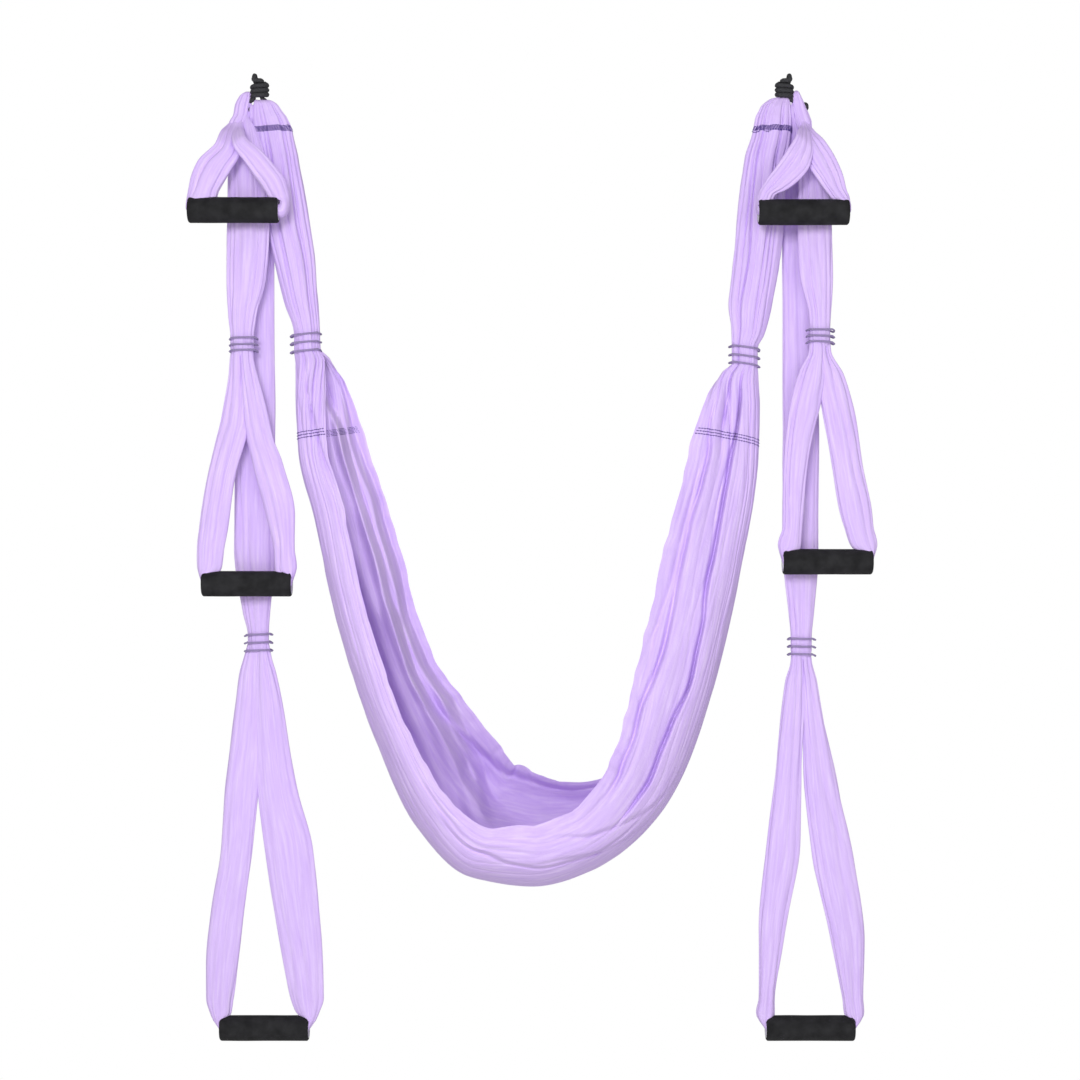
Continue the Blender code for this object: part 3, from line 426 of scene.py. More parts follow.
TALL_FOLD = 0.03
CREASE_WIDTH = 0.0018
FOLD_WANDER = 0.0025
FADE_OUT, FADE_IN = 0.07, 0.06
HEM_IN, HEM_WIDTH, HEM_RISE = 0.010, 0.0013, 0.0012


def hammock_stations():
    """Rows of the distance along the outer line, x, z, front wall, back wall, half depth, pleats, how
    far the section is closed, and the share of the folds' height."""
    left, right = (in_metres(bunch_rows)[:, [0, 1, 2, 2, 3, 4]] for bunch_rows in (BUNCH_LEFT, BUNCH_RIGHT))
    rows = np.vstack([left, in_metres(TROUGH), right])
    shares = [(1, 0)] * len(left) + NECK_SHARES
    shares += [(0, 1)] * (len(TROUGH) - 2 * len(NECK_SHARES))
    shares += NECK_SHARES[::-1] + [(1, 0)] * len(right)
    return np.column_stack([distances(rows[:, :2]), rows, shares])


def hammock_base(along):
    """Grid of the hammock's cloth without pleats or folds, and its pleats, folds and closed shares."""
    x, z, front, back, half, pleat, closed, fold = pchip(hammock_stations(), along).T
    kernel = np.hanning(TANGENT_ROWS + 2)[1:-1]
    tangent = unit(np.stack([smoothed(np.gradient(x), kernel), smoothed(np.gradient(z), kernel)], 1))
    level_share = 1 - ramp(-z, *LEVEL_DROPS)[:, None]
    upright = np.stack([0 * z, np.sign(tangent[:, 1])], 1)
    tangent = tangent * (1 - level_share) + upright * level_share
    v = np.linspace(0, 1, COLUMNS)[None, :]
    front_share = ramp(0.53 - v, 0, 0.06)
    wall = front[:, None] * front_share + back[:, None] * (1 - front_share)
    angle = np.pi * v
    k = closed[:, None]
    h = wall * ((1 - np.sin(angle) ** 0.8) * (1 - k) + 0.5 * (1 + np.cos(2 * angle)) * k)
    y = -half[:, None] * (np.cos(angle) * (1 - k) + np.sin(2 * angle) * k)
    points = np.stack([x[:, None] - tangent[:, 1:] * h, y, z[:, None] + tangent[:, :1] * h], -1)
    return points, pleat, fold, k


def seen(points):
    """Where points are seen from the camera on the hanging plane: x and z there."""
    eye = CAMERA[[0, 2]]
    return eye + (points[..., [0, 2]] - eye) * (CAMERA[1] / (CAMERA[1] - points[..., 1:2]))


def fold_field(base, uv):
    """Height of the hammock's folds over its grid."""
    place = seen(base)
    along = uv[:, 0, 0]
    total = np.zeros(base.shape[:2])
    for arm, sizes, line in HAMMOCK_FOLDS:
        height, outer_width, rim_width, crease = in_metres(sizes)
        first = 0 if arm == "front" else COLUMNS // 2
        knots = {}
        for target in smooth_line(in_metres(line), 24):
            apart = np.linalg.norm(place[:, first : first + COLUMNS // 2] - target, axis=2)
            i, j = np.unravel_index(apart.argmin(), apart.shape)
            knots.setdefault(int(i), uv[i, j + first, 1])
        rows = sorted(knots)
        centre = smoothed(np.interp(np.arange(len(base)), rows, [knots[i] for i in rows]), np.ones(19))
        centre = centre + FOLD_WANDER * wobble(along, 71, 0.05, height * 900)
        start, end = along[rows[0]], along[rows[-1]]
        fade = ramp(along, start - FADE_OUT, start + FADE_IN)
        fade = fade * (1 - ramp(along, end - FADE_IN, end + FADE_OUT))
        fade = fade * (0.85 + 0.25 * wobble(along, 72, 0.10, height * 700))
        t = uv[..., 1] - centre[:, None]
        rim_side = t < 0 if arm == "front" else t > 0
        # Tall folds lie flat on top and drop at their far side, low ones are round
        power = 4.5 if height > TALL_FOLD else 2.2
        rim_shape = np.exp(-((np.abs(t) / rim_width) ** 1.7))
        shape = np.where(rim_side, rim_shape, np.exp(-((np.abs(t) / outer_width) ** power)))
        steep = -1 if (arm == "front") == (rim_width < outer_width) else 1
        foot = steep * 1.7 * min(rim_width, outer_width) if height > 0 else 0.0
        slit = np.exp(-(((t - foot) / CREASE_WIDTH) ** 2))
        total += fade[:, None] * (height * shape - crease * slit)
    return total


def build_hammock(length):
    middle = np.linspace(NEAR_ROPE, length - NEAR_ROPE, ROWS - 2 * (ROPE_ROWS - 1))
    over_left = np.linspace(0, NEAR_ROPE, ROPE_ROWS)[:-1]
    along = np.concatenate([over_left, middle, np.linspace(length - NEAR_ROPE, length, ROPE_ROWS)[1:]])
    base, pleat, fold, closed = hammock_base(along)
    uv = grid_uv(base)
    uv[..., 0] = along[:, None]
    v = np.linspace(0, 1, COLUMNS)[None, :]
    u = uv[..., 0]
    inward = unit(np.cross(np.gradient(base, axis=1), np.gradient(base, axis=0)))
    if inward[0, COLUMNS // 4, 1] < 0:
        inward = -inward
    open_share = 1 - closed
    # Above the gathers the cloth is bunched, and its pleats fan out and die away below them
    pleats = 1.5 * grooves(v + 0 * u, u, 11, 17, 0.0105, closed=False) + 0.75
    pleats = pleats + 0.5 * lumps(u, v, 12, 0.20, 0.07)
    # Both edges of a closed bunch meet, so the pleats die away there
    push = -pleat[:, None] * pleats * ramp(np.minimum(v, 1 - v), 0.0, 0.03)
    drape = 0.0030 * lumps(u, uv[..., 1], 21, 0.20, 0.050) + 0.0009 * lumps(u, uv[..., 1], 22, 0.09, 0.024)
    drape = drape - 0.0012 * (grooves(v + 0 * u, u, 17, 13, 0.005, closed=False) + 0.2)
    push = push + drape * open_share * ramp(np.abs(v - 0.5), 0.0, 0.1)
    # Hems: a sewn line a little way in, and the cloth outside it puckered
    for from_rim in (uv[..., 1] - uv[:, :1, 1], uv[:, -1:, 1] - uv[..., 1]):
        line = np.exp(-(((from_rim - HEM_IN) / HEM_WIDTH) ** 2))
        pucker = wobble(u, 36, 0.006, 2) * (1 - ramp(from_rim, 0.006, 0.012))
        push = push + open_share * (HEM_RISE * line + 0.0008 * pucker)
    push = push + 0.0004 * lumps(u, uv[..., 1], 23, 0.022, 0.008)
    # The large folds rise straight towards the viewer, so each stays on its line in the picture
    folds = fold_field(base, uv) * np.minimum(fold, 1)[:, None]
    points = base + inward * push[..., None] + unit(CAMERA - base) * folds[..., None]
    # The hems pucker: short waves up and down and in and out along both rims
    near_front, near_back = 1 - ramp(v, 0.0, 0.05), ramp(v, 0.95, 1.0)
    front_wave = wobble(u, 31, 0.020) * 0.0013 + wobble(u, 32, 0.055) * 0.0012
    back_wave = wobble(u, 33, 0.022, 5) * 0.0013 + wobble(u, 34, 0.06, 5) * 0.0016
    rim = (back_wave * near_back - front_wave * near_front) * open_share
    out_wave = 0.0016 * wobble(u, 35, 0.016, 9) * (near_front + near_back) * open_share
    points = points + unit(np.gradient(base, axis=1)) * rim[..., None] + inward * out_wave[..., None]
    return grid_mesh("hammock_cloth", points, uv, CLOTH), points, uv, inward


def stitch_row(points, inward, row, offset, start, end, stitch, gap, lift, slant=0.0, wander=0.0):
    """Short lines of thread across the hammock's grid, on the outer face; slant and wander are in rows."""
    column = np.arange(COLUMNS)
    from_outer = np.abs(column / COLUMNS - 0.5) * 2
    at = row + slant * (from_outer - 0.5) + wander * wobble(column * 0.001, 91, 0.018)
    lower = np.clip(np.floor(at).astype(int), 0, ROWS - 2)
    share = (at - lower)[:, None]
    line = points[lower, column] * (1 - share) + points[lower + 1, column] * share
    line = line - lift * (inward[lower, column] * (1 - share) + inward[lower + 1, column] * share)
    line = line[int(start * COLUMNS) : int(end * COLUMNS)]
    length = distances(line)
    threads = []
    place = offset
    while place + stitch < length[-1]:
        threads.append(points_at(line, length, np.linspace(place, place + stitch, 3)))
        place += stitch + gap
    return threads


def thread_piece(name, threads, radius):
    """One mesh of many short threads, each a four-sided tube with pinched ends."""
    vertices, faces, uvs = [], [], []
    for thread in threads:
        grid, uv = sweep(thread, radius, 4)
        grid[[0, -1]] = grid[[0, -1]].mean(1, keepdims=True) * 0.6 + grid[[0, -1]] * 0.4
        start = len(vertices)
        end = start + (len(grid) - 1) * 4
        vertices.extend(grid.reshape(-1, 3).tolist())
        for i in range(len(grid) - 1):
            for j in range(4):
                k = (j + 1) % 4
                a, b = start + i * 4 + j, start + i * 4 + k
                faces.append((a, a + 4, b + 4, b))
                uvs.extend([*uv[i, j], *uv[i + 1, j], *uv[i + 1, k], *uv[i, k]])
        faces.append((start, start + 1, start + 2, start + 3))
        faces.append((end + 3, end + 2, end + 1, end))
        uvs.extend([0.0] * 16)
    mesh = bpy.data.meshes.new(name)
    mesh.from_pydata(vertices, [], faces)
    mesh.uv_layers.new(name="uv").data.foreach_set("uv", np.array(uvs, np.float32))
    mesh.update()
    return new_object(name, mesh, THREAD)


# Straps

SEEDS = {"middle": 100, "long": 200, "short": 300}
# Where each kind of strap lies on the rope's run, outwards from the hanging point
ROPE_PLACE = {"middle": 0.0125, "long": 0.0045, "short": 0.0205}

# A strap over the rope in millimetres: drop below the rope, half depth and fold height
OVER_ROPE = [(-6.8, 0.8, 0.2), (-5.2, 4.5, 0.4), (0, 6.6, 0.6), (9, 6.2, 1)]
# Half the height and depth of a leg's end in the middle of the bore, and how far the legs' ends overlap
BORE_FILL, LEG_LAP = (0.0108, 0.0106), 0.0005
# Upper bunches of the straps in millimetres: rows of place out, y, drop below the rope, half width, half
# depth and fold height
STRAPS = {
    ("middle", "left"): [(11.5, -3.2, 16, 6, 5.6, 1), (10, -7.6, 28, 12.5, 5.5, 1.6),
        (9, -18.4, 74, 28, 9, 3.6), (6.6, -20, 180, 32, 10, 4.4), (9, -20, 245, 30, 10, 4.4),
        (15, -20, 305, 21.5, 10, 3.6), (15.6, -20, 332, 17.8, 9.6, 1.8), (15.6, -20, 350, 17.8, 9.6, 1.8),
        (15.6, -20, 362, 11, 4.5, 0.4)],
    ("middle", "right"): [(15, -3.2, 16, 4.4, 5.6, 1), (21, -7.6, 28, 8.5, 5.5, 1.6),
        (31, -18.4, 74, 21, 9, 3.6), (35, -20, 180, 26.5, 10, 4.4), (37, -20, 245, 25, 10, 4.4),
        (42, -20, 300, 17, 10, 3.6), (42.5, -20, 320, 15.5, 9.6, 1.8), (42.5, -20, 338, 15.5, 9.6, 1.8),
        (42.5, -20, 350, 10, 4.5, 0.4)],
    ("long", "left"): [(3, 2.2, 16, 4.4, 5.6, 1), (-2, 5.3, 28, 8, 5.5, 1.2), (-6, 13, 74, 21, 8.5, 1.4),
        (-1, 14, 250, 26.2, 9, 1.6), (0.5, 14, 480, 30.5, 9.5, 2.4), (1, 14, 640, 31, 9.8, 3.6),
        (-1.8, 14, 735, 20.5, 9.8, 3.4), (-4, 14, 768, 15.8, 9.4, 1.8), (-4, 14, 786, 15.8, 9.4, 1.8),
        (-4, 14, 798, 10, 4.5, 0.4)],
    ("long", "right"): [(6, 2.2, 16, 4.4, 5.6, 1), (9, 5.3, 28, 8, 5.5, 1.2), (13, 13, 74, 18, 8.5, 1.4),
        (13, 14, 250, 22, 9, 1.6), (18.5, 14, 480, 27.5, 9.5, 2.4), (18, 14, 640, 28, 9.8, 3.6),
        (19.7, 14, 735, 19.5, 9.8, 3.4), (19.5, 14, 772, 15.8, 9.4, 1.8), (19.5, 14, 792, 15.8, 9.4, 1.8),
        (19.5, 14, 804, 10, 4.5, 0.4)],
}

# Legs of the loops in millimetres: rows of z, left edge x, right edge x and fold height, from the gather
# to just above the grip. From there the cloth turns round the grip's end into its bore.
LEGS = {
    ("middle", "left", -1): [(-388.5, -31, -13, 1.8), (-411, -35, -9, 3), (-441, -38.5, -5, 4.2),
        (-500, -49.5, -4, 4.2), (-529, -56, -10, 3.8), (-584, -68, -25, 3.4), (-654, -80, -35, 3),
        (-686, -83.5, -41, 3)],
    ("middle", "left", 1): [(-388.5, -19, 0, 1.8), (-411, -19, 2, 3.4), (-441, -19, 10, 4.2),
        (-500, -16, 25.5, 4.2), (-529, -11, 32, 3.8), (-562, -2, 45, 3.4), (-639, 18, 63, 3),
        (-686, 29, 62, 3)],
    ("middle", "right", -1): [(-376.5, 807, 825, 1.8), (-399, 806, 828, 3.4), (-430, 792, 829, 4.2),
        (-470, 780, 824, 4.2), (-530, 772, 811, 3.6), (-590, 768, 803, 3.2), (-654, 767, 798, 3)],
    ("middle", "right", 1): [(-376.5, 820, 837.5, 1.8), (-399, 819, 839, 3.4), (-435, 818, 858, 4.2),
        (-485, 826, 872, 4.2), (-572, 841, 887, 3.6), (-629, 850, 899.5, 3.2), (-654, 857, 902, 3)],
    ("long", "left", -1): [(-824.5, -12.5, 5, 1.8), (-847, -19, 8, 3), (-870, -25, 10, 3.4),
        (-915, -30.5, 11, 2.4), (-1003, -42, 8, 1.8), (-1045, -47, 4, 1.8), (-1126, -52, -4, 2.2),
        (-1222, -67.5, -17.5, 2.4), (-1300, -74.5, -27, 2.8), (-1346, -74, -33.5, 3)],
    ("long", "left", 1): [(-824.5, 1, 19.5, 1.8), (-847, 0, 24, 3), (-870, -2, 31, 3.4),
        (-915, -3, 40.5, 2.4), (-993, -1, 52, 1.8), (-1045, 2, 62, 1.8), (-1126, 12, 84.5, 2.2),
        (-1222, 26.5, 93, 2.4), (-1313, 43.5, 99, 2.8), (-1346, 50, 100, 3)],
    ("long", "right", -1): [(-830.5, 783.5, 801, 1.8), (-853, 782, 804, 3.4), (-880, 774.5, 806, 4),
        (-915, 770, 806, 3.4), (-1019, 759, 800, 2.8), (-1118, 748, 799, 2.6), (-1241, 737, 778.5, 2.6),
        (-1298, 736, 769.5, 2.8), (-1346, 735.5, 762, 2.8)],
    ("long", "right", 1): [(-830.5, 796, 813.5, 1.8), (-853, 796, 816, 3.4), (-880, 797, 824, 4),
        (-946, 800, 836.5, 3.6), (-1019, 803.2, 851, 3.4), (-1050, 805.5, 857, 3.2),
        (-1145, 816.5, 878, 3), (-1260, 841.5, 893.5, 2.8), (-1346, 858, 891, 2.8)],
}

# How a leg passes a grip's end into its bore, in millimetres outwards from the grip's end and up from its
# axis: the outer edge, the inner edge, the half depth
INTO_BORE = [
    (-1, -4, 0.8, 12.6, 11.2), (-8, -10, -8, 11.2, 11), (-30, -11, -30, 11, 10.8),
]
END_TURNS = {
    "short": [(1.5, 21.5, -40, 16, 9), (3, 12, -25, 15, 10.8), (3.6, 4, -10, 14.5, 11.8),
        (2.2, -1, 1, 16.5, 11.8)],
    "wrapped": [(16.5, 19, -14, 16.5, 8), (17.2, 10, -6, 15.5, 10), (15.5, 1, 0.4, 14.5, 11),
        (10.8, -7.8, 1.4, 11.5, 11), (4, -11.6, 1.2, 8.5, 10.5)],
    "middle": [(8, 24, -25, 17, 9.5), (6, 15, -15, 16, 11), (3.4, 8, -6, 15, 11.6),
        (1.2, 2, 0.6, 14.5, 11.6)],
    "long": [(15, 21, -14, 18, 10), (10.5, 11, -8, 16.5, 11.2), (5.2, 4, -2, 15.5, 11.8),
        (1.6, -1, 1.2, 14.5, 11.6)],
}

# Legs of the short straps in millimetres: x and z of one edge, x and z of the other, y, half depth, fold
SHORT = {
    ("left", -1): [(-38, -68, -14, -70, -8, 7, 2), (-45.5, -83, -12, -94, -33, 7.5, 3),
        (-50.5, -102, -14, -118, -50, 8, 3.6), (-75.5, -130.5, -26.5, -143, -55, 8.5, 3.8),
        (-85, -154, -36, -160, -56, 9, 3.8), (-88.5, -172, -44, -174, -56, 9.5, 3.4)],
    ("left", 1): [(-26, -70, -15, -70, -9, 7, 1.6), (-29, -92, -9, -85, -42, 6.5, 2.2),
        (-24, -111, -4, -97, -60, 6.5, 3), (-8, -134, 18, -116, -65, 7.5, 3.6),
        (6, -154, 39, -140, -64, 8.5, 3.6), (15, -166, 52, -158, -60, 8.5, 3.4),
        (21, -175, 55.5, -170, -58, 8.5, 3)],
    ("right", -1): [(795, -70, 806, -70, -9, 7, 1.6), (789, -82, 809, -90, -40, 6.5, 2.2),
        (783, -96, 809, -116, -60, 6.5, 3), (770, -117, 804, -140, -65, 7.5, 3.6),
        (754, -140, 788, -160, -64, 8.5, 3.6), (738, -162, 768, -174, -60, 9, 3.4),
        (730, -176, 754, -180, -57, 10, 3)],
    ("right", 1): [(798, -70, 809, -70, -8, 7, 1.6), (792, -93, 813, -83, -33, 7.5, 2.6),
        (793, -112, 826, -101, -50, 8, 3.4), (802, -136, 842, -128, -55, 8.5, 3.6),
        (814, -156, 852, -152, -56, 9, 3.6), (825, -172, 857, -172, -56, 9.5, 3.2)],
}

# Heading of the short straps, which stands up round the rope, in millimetres: z, two edges, half depth
HEADING = {
    "left": [(-20, -13, -8, 1), (-21.5, -16.5, -5, 4.5), (-25, -21.5, -3, 6.8), (-32, -26.5, -2.5, 8),
        (-40, -30, -4, 8.6), (-54, -32.5, -6, 8.8), (-66, -38, -10, 8), (-74, -37, -14, 4)],
    "right": [(-18.5, 788.5, 792.5, 1), (-20.5, 786.5, 794.5, 4.5), (-25, 784.5, 797, 6.8),
        (-33, 783.5, 801, 8), (-42, 783.5, 805, 8.6), (-55, 786, 810, 8.8), (-66, 789, 813, 8),
        (-74, 792, 813, 4)],
}


def bunch(name, rows, folds, seed, columns, steps):
    """Closed tube of gathered cloth through rows of (x, z) at one edge, (x, z) at the other edge, y, half
    depth, and fold height."""
    rows = np.array(rows, float)
    middle = np.column_stack([(rows[:, 0] + rows[:, 2]) / 2, rows[:, 4], (rows[:, 1] + rows[:, 3]) / 2])
    travelled = distances(middle)
    at = np.linspace(0, travelled[-1], steps)
    ax, az, bx, bz, y, half_depth, pleat = pchip(np.column_stack([travelled, rows]), at).T
    u, a = np.meshgrid(at, np.arange(columns) / columns, indexing="ij")
    across = np.stack([(bx - ax) / 2, 0 * ax, (bz - az) / 2], 1)
    half_width = np.linalg.norm(across, axis=1)[:, None]
    across = across / half_width
    centre = np.stack([(ax + bx) / 2, y, (az + bz) / 2], 1)
    broad = 0.35 * lumps(u, a, seed + 4, 0.10, 1 / 6, wrap=6)
    broad = broad + 0.14 * lumps(u, a, seed + 5, 0.04, 1 / 16, wrap=16)
    push = pleat[:, None] * (1.7 * grooves(a, u, seed, folds, 0.26 / folds) + broad)
    push = push * np.minimum(1, half_width / 0.008)
    c, s = np.cos(2 * np.pi * a), np.sin(2 * np.pi * a)
    wide = half_width * np.sign(c) * np.abs(c) ** 0.9 + push * c
    points = centre[:, None, :] + across[:, None, :] * wide[..., None]
    points[..., 1] += half_depth[:, None] * s + push * s * 1.1
    uv = grid_uv(points)
    uv[..., 0] = at[:, None] + 0.37 * seed
    return grid_mesh(name, points, uv, CLOTH, closed=True), travelled[-1]


def out_x(side, out):
    return (SPAN if side == "right" else 0.0) + SIDES[side] * out


def level(side, out, y, drop, half_width, half_depth, pleat):
    """Row of a bunch whose edges are level."""
    x, z = out_x(side, out), RUN_Z - drop
    return (x - half_width, z, x + half_width, z, y, half_depth, pleat)


def over_rope(side, place, half_width=0.0036):
    """Rows of a strap's bunch where it goes over the rope's straight run."""
    widths = (half_width, half_width, half_width, half_width * 1.05)
    rows = zip(widths, in_metres(OVER_ROPE))
    return [level(side, place, 0, drop, width, deep, fold) for width, (drop, deep, fold) in rows]


def build_upper(kind, side):
    rows = over_rope(side, ROPE_PLACE[kind]) + [level(side, *row) for row in in_metres(STRAPS[kind, side])]
    folds = 13 if kind == "middle" else 11
    seed = SEEDS[kind] + (50 if side == "right" else 0)
    obj, length = bunch(f"{kind}_upper_cloth_{side}", rows, folds, seed, columns=96, steps=120)
    hand_over(obj, f"{kind}_strap_{side}", "cloth", f"{kind}_strap_upper_{side}")
    return obj, length


def bore_turn(kind, grip, sign, reach=1.0):
    """Rows that carry a leg round a grip's end and through its bore to the middle."""
    into_bore = INTO_BORE[1:] if kind == "wrapped" else INTO_BORE
    turn = in_metres(END_TURNS[kind] + into_bore)
    # The first three rows lie outside the bore, where the cloth may be narrower and folds more
    turn[:3, 2] *= reach
    folds = [0.0016] * 3 + [0.0008] * (len(turn) - 3)
    rows = []
    for (outer, outer_z, inner, inner_z, deep), fold in zip(turn, folds):
        edges = [(grip.x + sign * (GRIP_HALF + outer), grip.z + outer_z)]
        edges.append((grip.x + sign * (GRIP_HALF + inner), grip.z + inner_z))
        rows.append((*edges[sign > 0], *edges[sign < 0], grip.y, deep, fold))
    edges = [(grip.x - sign * LEG_LAP, grip.z + up * BORE_FILL[0]) for up in (-1, 1)]
    rows.append((*edges[sign > 0], *edges[sign < 0], grip.y, BORE_FILL[1], 0.0008))
    return rows


def build_leg(kind, side, sign, rows, steps):
    seed = SEEDS[kind] + 200 + (50 if side == "right" else 0) + (20 if sign > 0 else 0)
    return bunch(f"{kind}_leg_{side}_{sign + 1}", rows, 9, seed, columns=80, steps=steps)


def join(name, pieces):
    """One mesh of several pieces with their lengths, and the sum of those."""
    objects = [obj for obj, _ in pieces]
    with bpy.context.temp_override(active_object=objects[0], selected_editable_objects=objects):
        bpy.ops.object.join()
    objects[0].name = objects[0].data.name = name
    return objects[0], sum(length for _, length in pieces)


def build_loop(kind, side, gather, grip):
    legs = []
    for sign in (-1, 1):
        rows = []
        for k, (z, a, b, fold) in enumerate(in_metres(LEGS[kind, side, sign])):
            # Above the parting one leg lies a little in front of the other
            lean = sign * SIDES[side] * 0.0016 * (1 - float(ramp(k, 2, 5)))
            deep = 0.0075 + 0.0015 * float(ramp(k, 0, 2))
            rows.append((a, z, b, z, gather.y + lean, deep, fold))
        rows += bore_turn(kind, grip, sign)
        legs.append(build_leg(kind, side, sign, rows, 150 if kind == "long" else 120))
    return join(f"{kind}_loop_cloth_{side}", legs)


def build_heading(side):
    rows = []
    for z, a, b, deep in in_metres(HEADING[side]):
        pleat = 0.0030 * float(ramp(deep, 0.001, 0.008))
        lean = -0.006 * float(ramp(-z, 0.045, 0.075))
        rows.append((a, z, b, z, lean, deep, pleat))
    return bunch(f"short_heading_{side}", rows, 9, 530 + SIDES[side], columns=96, steps=60)[0]


def build_short(side, grip):
    pieces = [(build_heading(side), 0.0)]
    for sign in (-1, 1):
        apart = 0.0016 if sign == SIDES[side] else -0.0016
        rows = over_rope(side, ROPE_PLACE["short"] + apart, 0.0021) + in_metres(SHORT[side, sign]).tolist()
        wrapped = (side, sign) == ("left", 1)
        rows += bore_turn("wrapped" if wrapped else "short", grip, sign, 1.0 if side == "left" else 0.5)
        pieces.append(build_leg("short", side, sign, rows, 140))
    return join(f"short_loop_cloth_{side}", pieces)


# Grips, gathers and ropes


def seed_of(*words):
    """A fixed whole number from names, for seeding."""
    total = 7
    for letter in "".join(words):
        total = (total * 31 + ord(letter)) % 9973
    return total


def lathe(name, profile, centre, material, sides=72):
    """Ring turned about the X axis from a closed profile of (along, radius)."""
    profile = np.array(profile, float)
    profile = np.concatenate([profile, profile[:1]])
    angle = 2 * np.pi * np.arange(sides) / sides
    along = np.repeat(profile[:, :1], sides, axis=1)
    radius = profile[:, 1:]
    points = np.stack([along, radius * np.cos(angle), radius * np.sin(angle)], -1) + np.array(centre)
    uv = np.stack([along, np.broadcast_to(angle * FOAM_RADIUS, along.shape)], -1)
    return grid_mesh(name, points, uv, material, closed=True)


def rounded(outer, inner, half, outer_round, inner_round, steps=5):
    """Closed profile of a sleeve's wall with rounded rims."""
    def corner(x, r, radius, quarter):
        turns = [(quarter + k / steps) * math.pi / 2 for k in range(steps + 1)]
        return [(x + radius * math.cos(turn), r + radius * math.sin(turn)) for turn in turns]

    outer_end, inner_end = half - outer_round, half - inner_round
    profile = corner(outer_end, outer - outer_round, outer_round, 0)
    profile += [(x, outer) for x in np.linspace(outer_end, -outer_end, 16)[1:-1]]
    profile += corner(-outer_end, outer - outer_round, outer_round, 1)
    profile += corner(-inner_end, inner + inner_round, inner_round, 2)
    profile += [(x, inner) for x in np.linspace(-inner_end, inner_end, 4)[1:-1]]
    return profile + corner(inner_end, inner + inner_round, inner_round, 3)


def build_grip(kind, side):
    low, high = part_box(f"{kind}_foam_{side}")
    centre = (low + high) / 2
    body = f"{kind}_grip_{side}"
    profile = rounded(FOAM_RADIUS, FOAM_BORE, GRIP_HALF, 0.0034, 0.0010)
    foam = lathe(f"{kind}_foam_sleeve_{side}", profile, centre, FOAM)
    co = np.array([v.co for v in foam.data.vertices])
    x, y, z = (co - np.array(centre)).T
    # The soft skin is a little uneven, but not the bore
    skin = np.hypot(y, z) > FOAM_SKIN
    uneven = 1 + 0.010 * lumps(x, np.arctan2(y, z), seed_of(kind, side), 0.03, 0.8) * skin
    co[:, 1:] = np.array(centre)[1:] + np.stack([y, z], 1) * uneven[:, None]
    foam.data.vertices.foreach_set("co", co.astype(np.float32).reshape(-1))
    core_low, core_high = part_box(f"{kind}_core_{side}")
    profile = rounded(CORE_RADIUS, CORE_BORE, (core_high.x - core_low.x) / 2, 0.0004, 0.0004, 3)
    core = lathe(f"{kind}_core_tube_{side}", profile, centre, CORE)
    hand_over(foam, body, "foam", f"{kind}_foam_{side}")
    hand_over(core, body, "core", f"{kind}_core_{side}")
    return centre


CORD_RADIUS, CORD_LAY = 0.00135, 0.0034


def build_gather(stem, body, tilt, across, deep):
    """Three turns of twisted cord, each a flat loop that stands a little proud at its sides."""
    def twist(at, ring):
        return 1 + 0.10 * np.abs(np.sin(ring * 1.5 + at * math.pi / CORD_LAY)) - 0.05

    angle = np.linspace(0, 2 * np.pi, 96, endpoint=False)
    c, s = np.cos(angle), np.sin(angle)
    x = across * np.sign(c) * np.abs(c) ** 0.72
    y = deep * np.sign(s) * np.abs(s) ** 0.55
    for number in range(1, 4):
        low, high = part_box(f"{stem}_ring_{number}")
        centre = (low + high) / 2
        z = x * math.tan(tilt) + 0.0007 * wobble(angle * 0.02, seed_of(stem) + number, 0.03)
        z = z - 0.0018 * ramp(np.abs(x) / across, 0.78, 1.0)
        line = np.stack([centre.x + x, centre.y + y, centre.z + z + 0.0006], 1)
        turn = cord_piece(f"{stem}_turn_{number}", line, CORD_RADIUS, 10, GATHER, closed=True, twist=twist)
        hand_over(turn, body, "gather_cord", f"{stem}_ring_{number}")


ROPE = 0.0062
ROPE_SHOWN = 0.0070
BRAID_LAY = 0.0052
KNOT_PITCH = 0.0068
KNOT_DROP = 0.0108
KNOT_OFFSET = 0.0070
KNOT_TURNS = 2.5
KNOT_POINTS = 10
ROPE_BEND = 0.0038
RUN_OUTER = 0.0215
RUN_INNER = 0.0240
EYE_RADIUS = 0.0075


